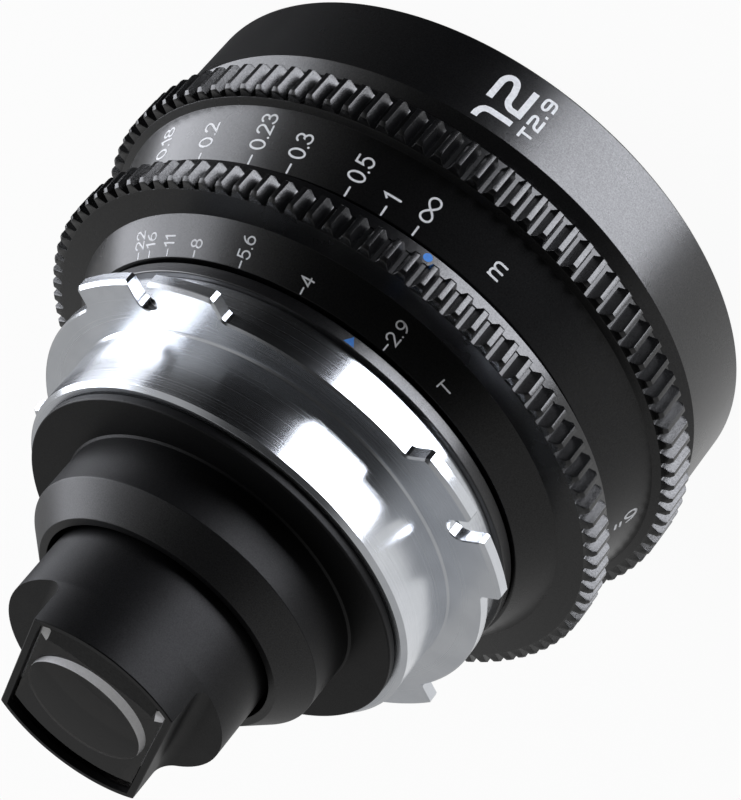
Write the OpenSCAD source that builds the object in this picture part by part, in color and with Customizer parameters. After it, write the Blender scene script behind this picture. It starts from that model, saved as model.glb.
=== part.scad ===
// Cinema prime lens with toothed focus and iris rings and a four-eared camera mount.
// Millimetres. It stands on its front rim at z = 0 and the optical axis runs up +Z to the tail.
// The index marks face -Y.

/* [Front barrel] */
// Outer radius
barrel_r = 40; // [39:0.1:42]
// Length from the front rim to the rear face
barrel_len = 12.6; // [12:0.1:14]
// Depth of the bevel at the rear edge
barrel_bevel = 1.1; // [0.8:0.1:1.3]
// Length of that bevel
barrel_bevel_len = 1.6; // [1.2:0.1:1.8]
// Bevel at the front rim
rim_bevel = 0.4; // [0.2:0.1:0.6]
// Wall outside the filter thread
filter_wall = 1.9; // [1.6:0.1:2.4]
// Filter thread depth
filter_depth = 4.2; // [3.8:0.1:4.6]
// Inner flange that clamps the front cell
barrel_flange_t = 1.6; // [1.4:0.1:2.2]
// Step from the thread bore in to the front cell's seat
cell_step = 1.5; // [1.2:0.1:1.8]
// Length of the relief groove behind the thread
relief_len = 1.0; // [0.9:0.05:1.3]
// Depth of the relief groove
relief_depth = 0.5; // [0.3:0.05:0.7]
// Thickness of the front bezel's flange
bezel_t = 0.7; // [0.5:0.05:0.75]

/* [Gears] */
// Module of both toothed bands
gear_module = 0.8; // [0.8]
// Height of the focus teeth above the front barrel
focus_tip_over = 1.6; // [1.2:0.4:2.4]
// Height of the iris teeth above the iris scale
iris_tip_over = 5.0; // [4.6:0.4:5.4]
// Flank angle of the teeth
flank_angle = 20; // [18:1:22]
// Bevel at the front and rear ends of the teeth
tooth_bevel = 0.4; // [0.3:0.05:0.6]
// Depth of the teeth in modules
tooth_depth = 2.0; // [1.9:0.05:2.25]
// Lean of the bands' rear faces
band_lean = 0.4; // [0.2:0.05:0.5]
// Plain strip ahead of the focus teeth
focus_strip = 1.4; // [1.2:0.1:1.6]
// Bevel at that strip's front edge
strip_bevel = 0.7; // [0.5:0.05:0.9]
// Turn of the focus teeth from the index line
focus_phase = -0.3; // [-2:0.1:2]
// Turn of the iris teeth from the index line
iris_phase = -0.7; // [-2:0.1:2]

/* [Focus ring] */
// Width of the toothed band
focus_gear_w = 6.5; // [6:0.1:7.4]
// Length of the tapered scale
focus_scale_len = 7.5; // [6.6:0.1:8]
// Step from the front barrel in to the focus bearing
bearing_step = 5.6; // [5:0.1:6.2]
// Wall at the scale's rear edge
focus_rear_wall = 1.9; // [1.6:0.1:2.2]
// Rise of the scale towards the teeth
focus_scale_rise = 2.7; // [2.2:0.1:2.9]

/* [Iris ring] */
// Width of the toothed band
iris_gear_w = 4.2; // [3.8:0.1:4.8]
// Length of the tapered scale
iris_scale_len = 4.4; // [4:0.1:5]
// Wall at the scale's rear edge
iris_rear_wall = 1.8; // [1.6:0.1:2]
// Rise of the scale towards the teeth
iris_scale_rise = 3.0; // [2.6:0.1:3.4]

/* [Main barrel] */
// Wall under the focus ring
main_wall = 2.0; // [1.6:0.1:2.4]
// Wall under the iris ring
waist_wall = 2.25; // [2:0.05:2.5]
// Length of the shoulder behind the focus ring
shoulder_len = 1.4; // [1:0.1:1.8]
// Rise of that shoulder above the focus bearing
shoulder_rise = 1.2; // [0.8:0.1:1.6]
// Width of the fixed strip that carries the focus index
index_strip_w = 1.6; // [1.2:0.1:2]
// Radius of the rear neck beyond the spigot
neck_over = 1.6; // [1.4:0.1:1.8]
// Step from the neck out to the iris bearing
neck_step = 1.2; // [1:0.1:1.4]

/* [Index collar] */
// Height above the iris bearing
collar_over = 1.4; // [1.2:0.1:1.7]
// Width
collar_w = 1.7; // [1.4:0.1:2.2]
// Gap between the iris ring and the collar
collar_gap = 0.4; // [0.3:0.05:0.6]

/* [Mount] */
// Spigot radius
spigot_r = 27; // [26:0.1:28.5]
// Spigot length behind the flange seat
spigot_len = 9.4; // [9:0.1:10]
// Spigot wall
spigot_wall = 1.8; // [1.6:0.1:2]
// Bevel on the spigot end
spigot_bevel = 0.55; // [0.3:0.05:0.7]
// Corner bevel between spigot and seat
corner_fillet = 0.25; // [0.1:0.05:0.4]
// Flange thickness
flange_t = 1.75; // [1.5:0.05:2.2]
// Reach of the ears beyond the spigot
ear_over = 7.4; // [7:0.1:7.8]
// Reach of the flange beyond the spigot between the ears
notch_over = 4.4; // [4:0.1:4.8]
// Half width of each ear
ear_half = 11.1; // [10:0.1:12]
// Fillet between an ear's side and the flange
ear_fillet = 1.0; // [0.6:0.1:1.4]
// Bevel round the flange's rear edge
flange_bevel = 0.65; // [0.3:0.05:0.8]
// Width of the locating slot in each ear
slot_w = 3.2; // [2.8:0.1:3.4]
// Depth of the locating slots
slot_depth = 4.3; // [3.8:0.1:4.6]
// Wall of the bright ring under the flange
ring_wall = 1.8; // [1.4:0.1:2.2]
// Length of the bright ring
ring_len = 4.05; // [3.6:0.05:4.6]

/* [Rear barrel] */
// Reach of the disc beyond the spigot bore
disc_over = 0.5; // [0.3:0.05:0.8]
// Disc thickness
disc_t = 1.1; // [0.9:0.1:1.4]
// Groove between the spigot end and the disc
disc_groove = 0.2; // [0.15:0.05:0.3]
// Hub radius beyond the tail
hub_over = 5.0; // [4.6:0.1:5.6]
// Straight length of the hub
hub_len = 7.0; // [6.4:0.1:7.6]
// Length of the hub's taper
taper_len = 3.6; // [3:0.1:4.2]
// Hub radius beyond the tail at the end of the taper
taper_over = 1.7; // [1.5:0.1:2.2]
// Gap round the tail where it passes through
tail_gap = 0.65; // [0.5:0.05:0.8]
// Depth of the lip inside that gap
lip_step = 0.85; // [0.6:0.05:1.2]
// Thickness of that lip
lip_t = 1.7; // [1.4:0.1:2.2]

/* [Tail] */
// Tail tube radius
tail_r = 15.1; // [14.6:0.1:15.6]
// Length of tail behind the hub
tail_out = 14.4; // [13.6:0.1:15.4]
// Length of the two flats at the end
flat_len = 6.0; // [5.4:0.1:6.6]
// Half width across the flats
flat_half = 9.75; // [9.2:0.05:10.4]
// Wall between flats and window
window_wall = 1.0; // [0.8:0.1:1.4]
// Wall round the rest of the window
tail_wall = 2.7; // [2.2:0.1:3.2]
// Wall round the inner elements
group_wall = 3.56; // [3.2:0.02:3.8]
// Ledge behind the inner elements
group_ledge = 1.14; // [0.8:0.02:1.4]
// Depth of the rear glass pocket beyond the flats
pocket_extra = 0.6; // [0.5:0.05:1]

/* [Focus drive] */
// Turn from the infinity stop to the closest mark
focus_turn = 70; // [60:1:80]
// Travel of the rear group over that turn
focus_travel = 2.4; // [2:0.1:2.6]
// Radius of the drive keys
key_r = 1.2; // [1:0.1:1.4]
// Depth of the drive keys in the focus ring
key_depth = 2.6; // [2.2:0.1:3]
// Sleeve wall
sleeve_wall = 2.05; // [1.8:0.05:2.2]
// Sleeve wall under the iris ring
sleeve_waist_wall = 1.8; // [1.5:0.1:2]
// Thickness of the sleeve's steps
sleeve_step_t = 1.4; // [1.2:0.1:1.6]
// Reach of the sleeve behind the flange seat
sleeve_out = 3.2; // [2.8:0.1:3.4]
// Carrier length
carrier_len = 10.4; // [10:0.1:10.8]
// Room behind the carrier at the infinity stop
carrier_room = 0.8; // [0.7:0.1:1.4]
// Guide pin radius
guide_r = 1.0; // [0.8:0.1:1.2]
// Depth of the guide pins in the rear barrel
guide_depth = 2.0; // [1.6:0.1:2.6]

/* [Iris] */
// Turn from the rest position to fully open
iris_open_turn = 6.5; // [5:0.5:8]
// Turn from the rest position to fully stopped down
iris_close_turn = 60.5; // [56:0.5:61]
// Blade swing from open to stopped down
blade_swing = 24.4; // [22:0.2:25]
// Room between the sleeve and the iris cell
iris_room = 2.7; // [2.2:0.1:3]
// Wall of the iris cell
iris_cell_wall = 2.3; // [2:0.1:2.6]
// Blade pivots in from the chamber wall
pivot_in = 5.7; // [5.4:0.1:6]
// Outer edge of the blades in from the pivots
blade_in = 1.2; // [1.1:0.05:1.5]
// Width of a blade
blade_w = 6.5; // [6:0.1:7]
// Angle that a blade covers
blade_span = 100; // [92:1:106]
// Pivot pin radius
pivot_r = 0.6; // [0.5:0.05:0.65]
// Drive pins out from the pivots when open
drive_out = 0.5; // [0.4:0.05:0.6]
// Angle from the pivot to the drive pin when open
drive_lead = 22; // [20:0.5:23]
// Drive pin radius
drive_r = 0.5; // [0.4:0.05:0.5]
// Blade thickness
blade_t = 0.2; // [0.15:0.01:0.22]
// Step from blade to blade
blade_step = 0.36; // [0.34:0.01:0.38]
// Actuator thickness
actuator_t = 1.6; // [1.5:0.1:1.8]
// Iris base thickness
base_t = 1.0; // [0.8:0.1:1.2]
// Radius of the pin between the iris ring and the actuator
iris_pin_r = 0.6; // [0.5:0.05:0.65]
// Depth of that pin in the iris ring
iris_pin_depth = 3.0; // [2.6:0.1:3.2]
// Depth of that pin in the actuator
iris_pin_in = 1.2; // [1:0.1:1.3]

/* [Front glass] */
// Wall of the front cell round the front element
glass1_wall = 3.6; // [3.2:0.1:4]
// Front element's outer curve
glass1_curve = 160; // [140:5:200]
// Front element's inner curve
glass1_back = 30; // [27:1:34]
// Front element's middle thickness
glass1_t = 2.6; // [2.2:0.1:3]
// Depth of the front element below the rim
glass1_sunk = 4.4; // [4.3:0.1:5]
// Thickness of the front element's seat
glass1_ledge = 1.0; // [0.8:0.1:1.2]
// Bezel overlap on the front element
bezel_lap = 0.8; // [0.6:0.1:1.2]
// Wall of the front cell round the second element
glass2_wall = 5.0; // [4.4:0.1:5.4]
// Depth of the second element's seat behind the cell flange
glass2_drop = 6.8; // [6.6:0.1:7.4]
// Second element's edge thickness
glass2_edge = 3.3; // [2.8:0.1:3.4]
// Second element's middle thickness
glass2_t = 2.0; // [1.6:0.1:2.4]
// Second element's outer curve
glass2_curve = 90; // [85:1:110]
// Second element's inner curve
glass2_back = 17; // [16:0.5:18]
// Lock ring width on the second element
lock_w = 2.6; // [2:0.1:3]
// Lock ring thickness
lock_t = 1.2; // [1:0.1:1.4]
// Wall of the cell neck round the third element
glass3_wall = 2.8; // [2.4:0.1:3.2]
// Depth of the third element's seat behind the second's
glass3_drop = 6.2; // [5.8:0.1:6.6]
// Third element's thickness
glass3_t = 5.4; // [5:0.1:5.6]
// Third element's front curve
glass3_front = 60; // [50:1:80]
// Third element's rear curve
glass3_back = 30; // [27:1:34]
// Cell length behind the third element
cell_tail = 1.6; // [1.4:0.1:2]
// Length of the cell's neck
cell_neck_len = 3.0; // [2.6:0.1:3.4]
// Fourth element radius beyond the aperture
glass4_over = 4.2; // [3.8:0.1:4.6]
// Fourth element's thickness
glass4_t = 3.2; // [2.8:0.1:3.4]
// Fourth element's curve
glass4_curve = 45; // [40:1:60]

/* [Rear glass] */
// Lock ring ahead of the rear group
group_lock_t = 0.8; // [0.6:0.1:1]
// Fifth element's thickness
glass5_t = 3.0; // [2.6:0.1:3.4]
// Fifth element's front curve
glass5_curve = 40; // [36:1:50]
// First spacer
spacer_a_len = 2.0; // [1.6:0.1:2.4]
// Sixth element's thickness
glass6_t = 6.4; // [5.8:0.1:7]
// Sixth element's front curve
glass6_curve = 50; // [46:1:60]
// Second spacer
spacer_b_len = 5.8; // [5.2:0.1:6.4]
// Seventh element's thickness
glass7_t = 4.0; // [3.6:0.1:4.4]
// Seventh element's rear curve
glass7_curve = 45; // [40:1:60]
// Rear element's outer curve
rear_curve = 40; // [34:1:60]
// Depth of the rear element below the tail end
rear_sunk = 0.5; // [0.3:0.1:0.8]

/* [Clearances] */
// Running fit of the turning rings and sliding carrier, on radius
run_fit = 0.05; // [0.03:0.01:0.08]
// Seat fit of fixed pieces, on radius
seat_fit = 0.04; // [0.02:0.01:0.06]
// End play of the rings
end_play = 0.1; // [0.08:0.01:0.15]
// Gap ahead of the focus ring
ring_gap = 0.3; // [0.2:0.05:0.4]
// Free room round pins in slots and the sleeve
free_gap = 0.3; // [0.25:0.05:0.4]

/* [Hidden] */
$fn = 96;
index_dir = -90;
blade_count = 7;
key_dirs = [60, 240];
guide_dirs = [0, 180];
iris_pin_dir = 200;

// Front barrel and focus bearing, from the barrel inwards
filter_r = barrel_r - filter_wall;
cell_r = filter_r - cell_step;
glass1_r = cell_r - glass1_wall;
bezel_lip_r = glass1_r - bezel_lap;
focus_bearing_r = barrel_r - bearing_step;
focus_rear_r = focus_bearing_r + focus_rear_wall;
focus_front_r = focus_rear_r + focus_scale_rise;
main_bore_r = focus_bearing_r - main_wall;
shoulder_r = focus_bearing_r + shoulder_rise;
sleeve_front_r = main_bore_r - run_fit;
cell_waist_r = sleeve_front_r - sleeve_wall - free_gap;
glass2_r = cell_waist_r - glass2_wall;

// Mount, from the spigot inwards and outwards
spigot_bore_r = spigot_r - spigot_wall;
ear_r = spigot_r + ear_over;
notch_r = spigot_r + notch_over;
slot_end_r = ear_r - slot_depth;
fillet_x = sqrt(pow(notch_r + ear_fillet, 2) - pow(ear_half + ear_fillet, 2));
neck_r = spigot_r + neck_over;
ring_r = neck_r + ring_wall;
disc_r = spigot_bore_r + disc_over;
iris_bearing_r = neck_r + neck_step;
collar_r = iris_bearing_r + collar_over;
iris_rear_r = iris_bearing_r + iris_rear_wall;
iris_front_r = iris_rear_r + iris_scale_rise;
waist_bore_r = iris_bearing_r - waist_wall;
sleeve_waist_r = waist_bore_r - run_fit;
sleeve_rear_r = spigot_bore_r - free_gap;
sleeve_bore_r = sleeve_rear_r - sleeve_wall;
carrier_r = sleeve_bore_r - run_fit;

// Iris, from the sleeve inwards
mid_cell_r = sleeve_waist_r - sleeve_waist_wall - iris_room;
chamber_r = mid_cell_r - iris_cell_wall;
pivot_pitch_r = chamber_r - pivot_in;
drive_pitch_r = pivot_pitch_r + drive_out;
blade_outer_r = pivot_pitch_r - blade_in;
aperture_r = blade_outer_r - blade_w;
glass4_r = aperture_r + glass4_over;
cell_neck_r = mid_cell_r - iris_cell_wall + 0.6;
glass3_r = cell_neck_r - glass3_wall;
blade_ratio = blade_swing / (iris_open_turn + iris_close_turn);
rest_close = iris_open_turn * blade_ratio;

// Tail and hub
tail_bore_r = tail_r + tail_gap;
relief_r = tail_bore_r + lip_step;
hub_r = tail_r + hub_over;
taper_r = tail_r + taper_over;
window_half = flat_half - window_wall;
window_r = tail_r - tail_wall;
group_bore_r = tail_r - group_wall;
light_bore_r = group_bore_r - group_ledge;
guide_pitch_r = (tail_r + carrier_r) / 2;

// Gears, with whole tooth counts
focus_teeth = round(2 * (barrel_r + focus_tip_over) / gear_module - 2);
iris_teeth = round(2 * (iris_front_r + iris_tip_over) / gear_module - 2);
focus_tip_r = gear_module * (focus_teeth + 2) / 2;
focus_root_r = focus_tip_r - tooth_depth * gear_module;
iris_tip_r = gear_module * (iris_teeth + 2) / 2;
iris_root_r = iris_tip_r - tooth_depth * gear_module;

// Heights up the axis from the front rim
barrel_back_z = barrel_len;
focus_front_z = barrel_back_z + ring_gap;
focus_gear_z = focus_front_z + focus_gear_w;
focus_back_z = focus_gear_z + focus_scale_len;
shoulder_z = focus_back_z + end_play;
strip_z = shoulder_z + shoulder_len;
strip_back_z = strip_z + index_strip_w;
iris_front_z = strip_back_z + end_play;
iris_gear_z = iris_front_z + iris_gear_w;
iris_back_z = iris_gear_z + iris_scale_len;
collar_z = iris_back_z + collar_gap;
ring_z = collar_z + collar_w;
flange_z = ring_z + ring_len;
seat_z = flange_z + flange_t;
spigot_end_z = seat_z + spigot_len;
disc_z = spigot_end_z + disc_groove;
hub_z = disc_z + disc_t;
taper_z = hub_z + hub_len;
hub_end_z = taper_z + taper_len;
tail_end_z = hub_end_z + tail_out;

// Heights of the front cell
cell_flange_z = barrel_len - barrel_flange_t;
glass1_seat_z = cell_flange_z - glass1_ledge;
cell_rim_z = (filter_depth + glass1_seat_z) / 2 - free_gap;
glass2_seat_z = cell_flange_z + glass2_drop;
glass2_front_z = glass2_seat_z - glass2_edge - sag(glass2_curve, glass2_r);
glass3_seat_z = glass2_seat_z + glass3_drop;
cell_back_z = glass3_seat_z + cell_tail;
cell_step_z = cell_back_z - cell_neck_len;

// Heights of the focus drive
key_z = focus_front_z + focus_gear_w / 2;
sleeve_front_z = key_z - 2 * key_r;
sleeve_waist_z = shoulder_z + shoulder_len / 2;
sleeve_step_z = sleeve_waist_z - sleeve_step_t;
sleeve_rear_z = collar_z - end_play;
sleeve_rear_step_z = sleeve_rear_z - sleeve_step_t;
sleeve_end_z = seat_z + sleeve_out;
rear_face_z = sleeve_end_z + free_gap;
carrier_z = rear_face_z - carrier_room - carrier_len;

// Heights of the iris
chamber_z = iris_front_z + end_play;
actuator_z = chamber_z + end_play;
blade_z = actuator_z + actuator_t + free_gap;
base_z = blade_z + blade_count * blade_step + free_gap;
chamber_back_z = base_z + base_t;
iris_pin_z = actuator_z + actuator_t / 2;
glass4_seat_z = chamber_z - 2.5 * free_gap;

// Heights of the rear group
group_front_z = carrier_z + free_gap;
group_lock_z = group_front_z + free_gap;
glass5_z = group_lock_z + group_lock_t;
spacer_a_z = glass5_z + glass5_t;
glass6_z = spacer_a_z + spacer_a_len;
spacer_b_z = glass6_z + glass6_t;
glass7_z = spacer_b_z + spacer_b_len;
group_seat_z = glass7_z + glass7_t;
flat_z = tail_end_z - flat_len;
pocket_z = flat_z - pocket_extra;

// Depth of a spherical cap of curve c at radius r
function sag(c, r) = c - sqrt(c * c - r * r);
function polar(r, a) = [r * cos(a), r * sin(a)];
function turn(p, a) = [p[0] * cos(a) - p[1] * sin(a), p[0] * sin(a) + p[1] * cos(a)];

// Turned piece from a list of [radius, height]
module turned(profile) {
    rotate_extrude() polygon(profile);
}

module tube(inner, outer, low, high) {
    turned([[inner, low], [outer, low], [outer, high], [inner, high]]);
}

// Radial pin from one radius to another
module radial_pin(r, from, to, height, dir) {
    translate([0, 0, height])
        rotate([0, 0, dir])
        rotate([0, 90, 0])
        translate([0, 0, from])
        cylinder(r = r, h = to - from);
}

// Wedge about the axis between two directions, less than a full turn
module wedge(from, to, radius, low, high) {
    steps = ceil((to - from) / 30);
    translate([0, 0, low])
        linear_extrude(high - low)
        polygon(concat([[0, 0]],
            [for (i = [0 : steps]) polar(radius, from + (to - from) * i / steps)]));
}

// Slot through a wall that lets a radial pin travel between two directions
module pin_slot(pin, inner, outer, height, from, to) {
    side = pin / inner * 180 / PI;
    intersection() {
        tube(inner, outer, height - pin, height + pin);
        wedge(from - side, to + side, outer * 1.2, height - 2 * pin, height + 2 * pin);
    }
}

// Outline of a toothed band with straight-sided teeth
function tooth_half(teeth, add) =
    (PI * gear_module / 4 - add * tan(flank_angle)) / (gear_module * teeth / 2 + add) * 180 / PI;
function gear_outline(teeth, root, tip) = [
    for (i = [0 : teeth - 1])
        let (a = 360 * i / teeth,
            thin = tooth_half(teeth, gear_module),
            wide = tooth_half(teeth, (1 - tooth_depth) * gear_module))
        each [polar(root, a - wide), polar(tip, a - thin), polar(tip, a + thin), polar(root, a + wide)]
];

// Toothed band whose tooth ends are bevelled, open along the bore
module gear_band(teeth, root, tip, bore, low, high, phase) {
    intersection() {
        translate([0, 0, low])
            rotate([0, 0, index_dir + phase])
            linear_extrude(high - low)
            difference() {
                polygon(gear_outline(teeth, root, tip));
                circle(r = bore);
            }
        turned([[0, low], [tip - tooth_bevel, low], [tip + 0.1, low + tooth_bevel + 0.1],
            [tip + 0.1, high - tooth_bevel - 0.1], [tip - tooth_bevel, high], [0, high]]);
    }
}

// Front barrel with filter thread bore and the flange that clamps the front cell
module front_barrel() {
    color([0.08, 0.08, 0.09])
        turned([[filter_r + rim_bevel, 0], [barrel_r - rim_bevel, 0], [barrel_r, rim_bevel],
            [barrel_r, barrel_back_z - barrel_bevel_len], [barrel_r - barrel_bevel, barrel_back_z],
            [focus_bearing_r + seat_fit, barrel_back_z], [focus_bearing_r + seat_fit, cell_flange_z],
            [cell_r, cell_flange_z], [cell_r, filter_depth], [filter_r + relief_depth, filter_depth],
            [filter_r + relief_depth, filter_depth - relief_len], [filter_r, filter_depth - relief_len],
            [filter_r, rim_bevel]]);
}

// Retaining ring that holds the front element in its cell
module front_bezel() {
    lip_z = glass1_sunk + sag(glass1_curve, bezel_lip_r) - seat_fit;
    color([0.05, 0.05, 0.05])
        turned([[filter_r - seat_fit, filter_depth - bezel_t], [filter_r - seat_fit, filter_depth],
            [cell_r - seat_fit, filter_depth], [cell_r - seat_fit, cell_rim_z],
            [glass1_r, cell_rim_z], [bezel_lip_r, lip_z], [bezel_lip_r - bezel_lap / 2, lip_z - bezel_t],
            [bezel_lip_r + bezel_lap, filter_depth - bezel_t]]);
}

// Fixed cell of the front group, clamped between the front barrel and the main barrel
module front_cell() {
    color([0.12, 0.12, 0.12])
        turned([[cell_r - seat_fit, cell_rim_z], [cell_r - seat_fit, cell_flange_z],
            [cell_waist_r, cell_flange_z], [cell_waist_r, glass2_seat_z],
            [mid_cell_r, cell_step_z], [cell_neck_r, cell_step_z], [cell_neck_r, cell_back_z],
            [glass3_r - glass3_wall, cell_back_z], [glass3_r - glass3_wall, glass3_seat_z],
            [glass3_r + seat_fit, glass3_seat_z], [glass3_r + seat_fit, glass2_seat_z],
            [glass2_r + seat_fit, glass2_seat_z], [glass2_r + seat_fit, glass1_seat_z],
            [glass1_r + seat_fit, glass1_seat_z], [glass1_r + seat_fit, cell_rim_z]]);
}

// Large front meniscus
module element_1() {
    back_vertex = glass1_sunk + glass1_t;
    color([0.6, 0.75, 0.85, 0.5])
        difference() {
            intersection() {
                translate([0, 0, glass1_sunk]) cylinder(r = glass1_r, h = glass1_seat_z - glass1_sunk);
                translate([0, 0, glass1_sunk + glass1_curve]) sphere(r = glass1_curve, $fn = 240);
            }
            translate([0, 0, back_vertex + glass1_back]) sphere(r = glass1_back);
        }
}

// Second meniscus
module element_2() {
    color([0.6, 0.75, 0.85, 0.5])
        difference() {
            intersection() {
                translate([0, 0, glass2_front_z]) cylinder(r = glass2_r, h = glass2_seat_z - glass2_front_z);
                translate([0, 0, glass2_front_z + glass2_curve]) sphere(r = glass2_curve);
            }
            translate([0, 0, glass2_front_z + glass2_t + glass2_back]) sphere(r = glass2_back);
        }
}

// Lock ring on the second element
module cell_lock_ring() {
    edge_z = glass2_front_z + sag(glass2_curve, glass2_r - lock_w) - seat_fit;
    color([0.05, 0.05, 0.05]) tube(glass2_r - lock_w, glass2_r, edge_z - lock_t, edge_z);
}

// Biconcave third element
module element_3() {
    front = glass3_seat_z - glass3_t;
    color([0.6, 0.75, 0.85, 0.5])
        difference() {
            translate([0, 0, front]) cylinder(r = glass3_r, h = glass3_seat_z - front);
            translate([0, 0, front + glass3_t / 4 - glass3_front]) sphere(r = glass3_front);
            translate([0, 0, glass3_seat_z - glass3_t / 2.2 + glass3_back]) sphere(r = glass3_back);
        }
}

// Fixed barrel that both rings turn on, with the strip that carries the focus index
module main_barrel() {
    color([0.1, 0.1, 0.11])
        difference() {
            turned([[main_bore_r, cell_flange_z], [focus_bearing_r, cell_flange_z],
                [focus_bearing_r, shoulder_z], [shoulder_r, shoulder_z], [shoulder_r, strip_z],
                [iris_root_r, strip_z], [iris_root_r, strip_back_z], [iris_bearing_r, strip_back_z],
                [iris_bearing_r, collar_z], [neck_r, collar_z], [neck_r, flange_z],
                [spigot_bore_r, flange_z], [spigot_bore_r, collar_z + end_play],
                [waist_bore_r, collar_z + end_play], [waist_bore_r, sleeve_waist_z + 2 * end_play],
                [main_bore_r, sleeve_waist_z + 2 * end_play]]);
            for (d = key_dirs)
                pin_slot(key_r + free_gap, main_bore_r - 1, focus_bearing_r + 1, key_z,
                    d - focus_turn, d);
            pin_slot(iris_pin_r + free_gap, waist_bore_r - 1, iris_bearing_r + 1, iris_pin_z,
                iris_pin_dir - iris_close_turn, iris_pin_dir + iris_open_turn);
        }
}

// Fixed cell behind the front group, with the iris chamber
module mid_cell() {
    color([0.12, 0.12, 0.12])
        difference() {
            turned([[cell_neck_r + seat_fit, cell_step_z], [mid_cell_r, cell_step_z],
                [mid_cell_r, chamber_back_z], [chamber_r, chamber_back_z], [chamber_r, chamber_z],
                [glass4_r - glass4_over / 4, chamber_z], [glass4_r - glass4_over / 4, glass4_seat_z],
                [glass4_r + seat_fit, glass4_seat_z], [glass4_r + seat_fit, cell_back_z],
                [cell_neck_r + seat_fit, cell_back_z]]);
            pin_slot(iris_pin_r + free_gap, chamber_r - 1, mid_cell_r + 1, iris_pin_z,
                iris_pin_dir - iris_close_turn, iris_pin_dir + iris_open_turn);
        }
}

// Biconvex element ahead of the iris
module element_4() {
    front = glass4_seat_z - glass4_t;
    color([0.6, 0.75, 0.85, 0.5])
        intersection() {
            translate([0, 0, front]) cylinder(r = glass4_r, h = glass4_seat_z - front);
            translate([0, 0, front + glass4_curve]) sphere(r = glass4_curve);
        }
}

// Plate that closes the iris chamber and carries the blade pivots
module iris_base() {
    color([0.2, 0.2, 0.2])
        difference() {
            tube(aperture_r + 2 * free_gap, chamber_r - seat_fit, base_z, chamber_back_z);
            for (i = [1 : blade_count])
                rotate([0, 0, 360 * i / blade_count])
                    translate([pivot_pitch_r, 0, base_z - 1])
                    cylinder(r = pivot_r + run_fit, h = base_t + 2);
        }
}

// Fixed collar behind the iris ring, with the iris index
module index_collar() {
    color([0.1, 0.1, 0.11]) tube(neck_r + seat_fit, collar_r, collar_z, ring_z);
}

// Bright ring between the collar and the flange
module mount_ring() {
    color([0.75, 0.76, 0.78]) tube(neck_r + seat_fit, ring_r, ring_z, flange_z);
}

// Outline of the flange round its rim, bevelled at the rear edge
module flange_disc(radius) {
    turned([[spigot_bore_r, flange_z], [radius, flange_z], [radius, seat_z - flange_bevel],
        [radius - flange_bevel, seat_z], [spigot_bore_r, seat_z]]);
}

// One ear on +X: straight sides with the same bevel, and the corners that the fillets are cut from
module ear() {
    out_y = ear_half + ear_fillet;
    foot = [fillet_x, out_y] * (notch_r - flange_bevel) / (notch_r + ear_fillet);
    intersection() {
        flange_disc(ear_r);
        rotate([90, 0, 90])
            linear_extrude(ear_r * 1.2)
            polygon([[-ear_half, flange_z - 1], [ear_half, flange_z - 1], [ear_half, seat_z - flange_bevel],
                [ear_half - flange_bevel, seat_z], [ear_half - flange_bevel, seat_z + 1],
                [flange_bevel - ear_half, seat_z + 1], [flange_bevel - ear_half, seat_z],
                [-ear_half, seat_z - flange_bevel]]);
    }
    for (s = [-1, 1])
        translate([0, 0, flange_z])
            linear_extrude(flange_t)
            polygon([[foot[0], s * foot[1]], [fillet_x, s * out_y], [fillet_x, s * (ear_half - flange_bevel)],
                [foot[0] - flange_bevel, s * (ear_half - flange_bevel)]]);
}

// Concave corner cut between an ear and the flange, wider along the rear bevel
module fillet_cut() {
    translate([0, 0, flange_z - 1]) cylinder(r = ear_fillet, h = flange_t + 2);
    translate([0, 0, seat_z - flange_bevel])
        cylinder(r1 = ear_fillet, r2 = ear_fillet + 2 * flange_bevel, h = 2 * flange_bevel);
}

// Mount flange with four slotted ears, and the spigot
module mount_plate() {
    color([0.78, 0.79, 0.81])
        difference() {
            union() {
                flange_disc(notch_r);
                for (k = [0 : 3])
                    rotate([0, 0, 45 + 90 * k]) ear();
                turned([[spigot_bore_r, flange_z], [spigot_r + corner_fillet, flange_z],
                    [spigot_r + corner_fillet, seat_z], [spigot_r, seat_z + corner_fillet],
                    [spigot_r, spigot_end_z - spigot_bevel], [spigot_r - spigot_bevel, spigot_end_z],
                    [spigot_bore_r, spigot_end_z]]);
            }
            for (k = [0 : 3])
                rotate([0, 0, 45 + 90 * k]) {
                    translate([slot_end_r + slot_w / 2, 0, flange_z - 1]) {
                        cylinder(r = slot_w / 2, h = flange_t + 2);
                        translate([0, -slot_w / 2, 0]) cube([ear_r, slot_w, flange_t + 2]);
                    }
                    for (s = [-1, 1]) translate([fillet_x, s * (ear_half + ear_fillet), 0]) fillet_cut();
                }
        }
}

// Black disc and tapered hub that plug the spigot and guide the tail
module rear_barrel() {
    color([0.09, 0.09, 0.1])
        difference() {
            turned([[relief_r, rear_face_z], [spigot_bore_r - seat_fit, rear_face_z],
                [spigot_bore_r - seat_fit, spigot_end_z], [spigot_bore_r + disc_over / 3, spigot_end_z],
                [spigot_bore_r + disc_over / 3, disc_z], [disc_r, disc_z], [disc_r, hub_z],
                [hub_r + corner_fillet, hub_z], [hub_r, hub_z + corner_fillet], [hub_r, taper_z],
                [taper_r, hub_end_z], [tail_bore_r, hub_end_z], [tail_bore_r, hub_end_z - lip_t],
                [relief_r, hub_end_z - lip_t]]);
            for (d = guide_dirs)
                rotate([0, 0, d])
                    translate([guide_pitch_r, 0, rear_face_z - 1])
                    cylinder(r = guide_r + seat_fit, h = guide_depth + 1);
        }
}

// Pins that keep the carrier from turning
module guide_pins() {
    color([0.7, 0.7, 0.72])
        for (d = guide_dirs)
            rotate([0, 0, d])
                translate([guide_pitch_r, 0, carrier_z + guide_r])
                cylinder(r = guide_r, h = rear_face_z + guide_depth - carrier_z - guide_r);
}

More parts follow.
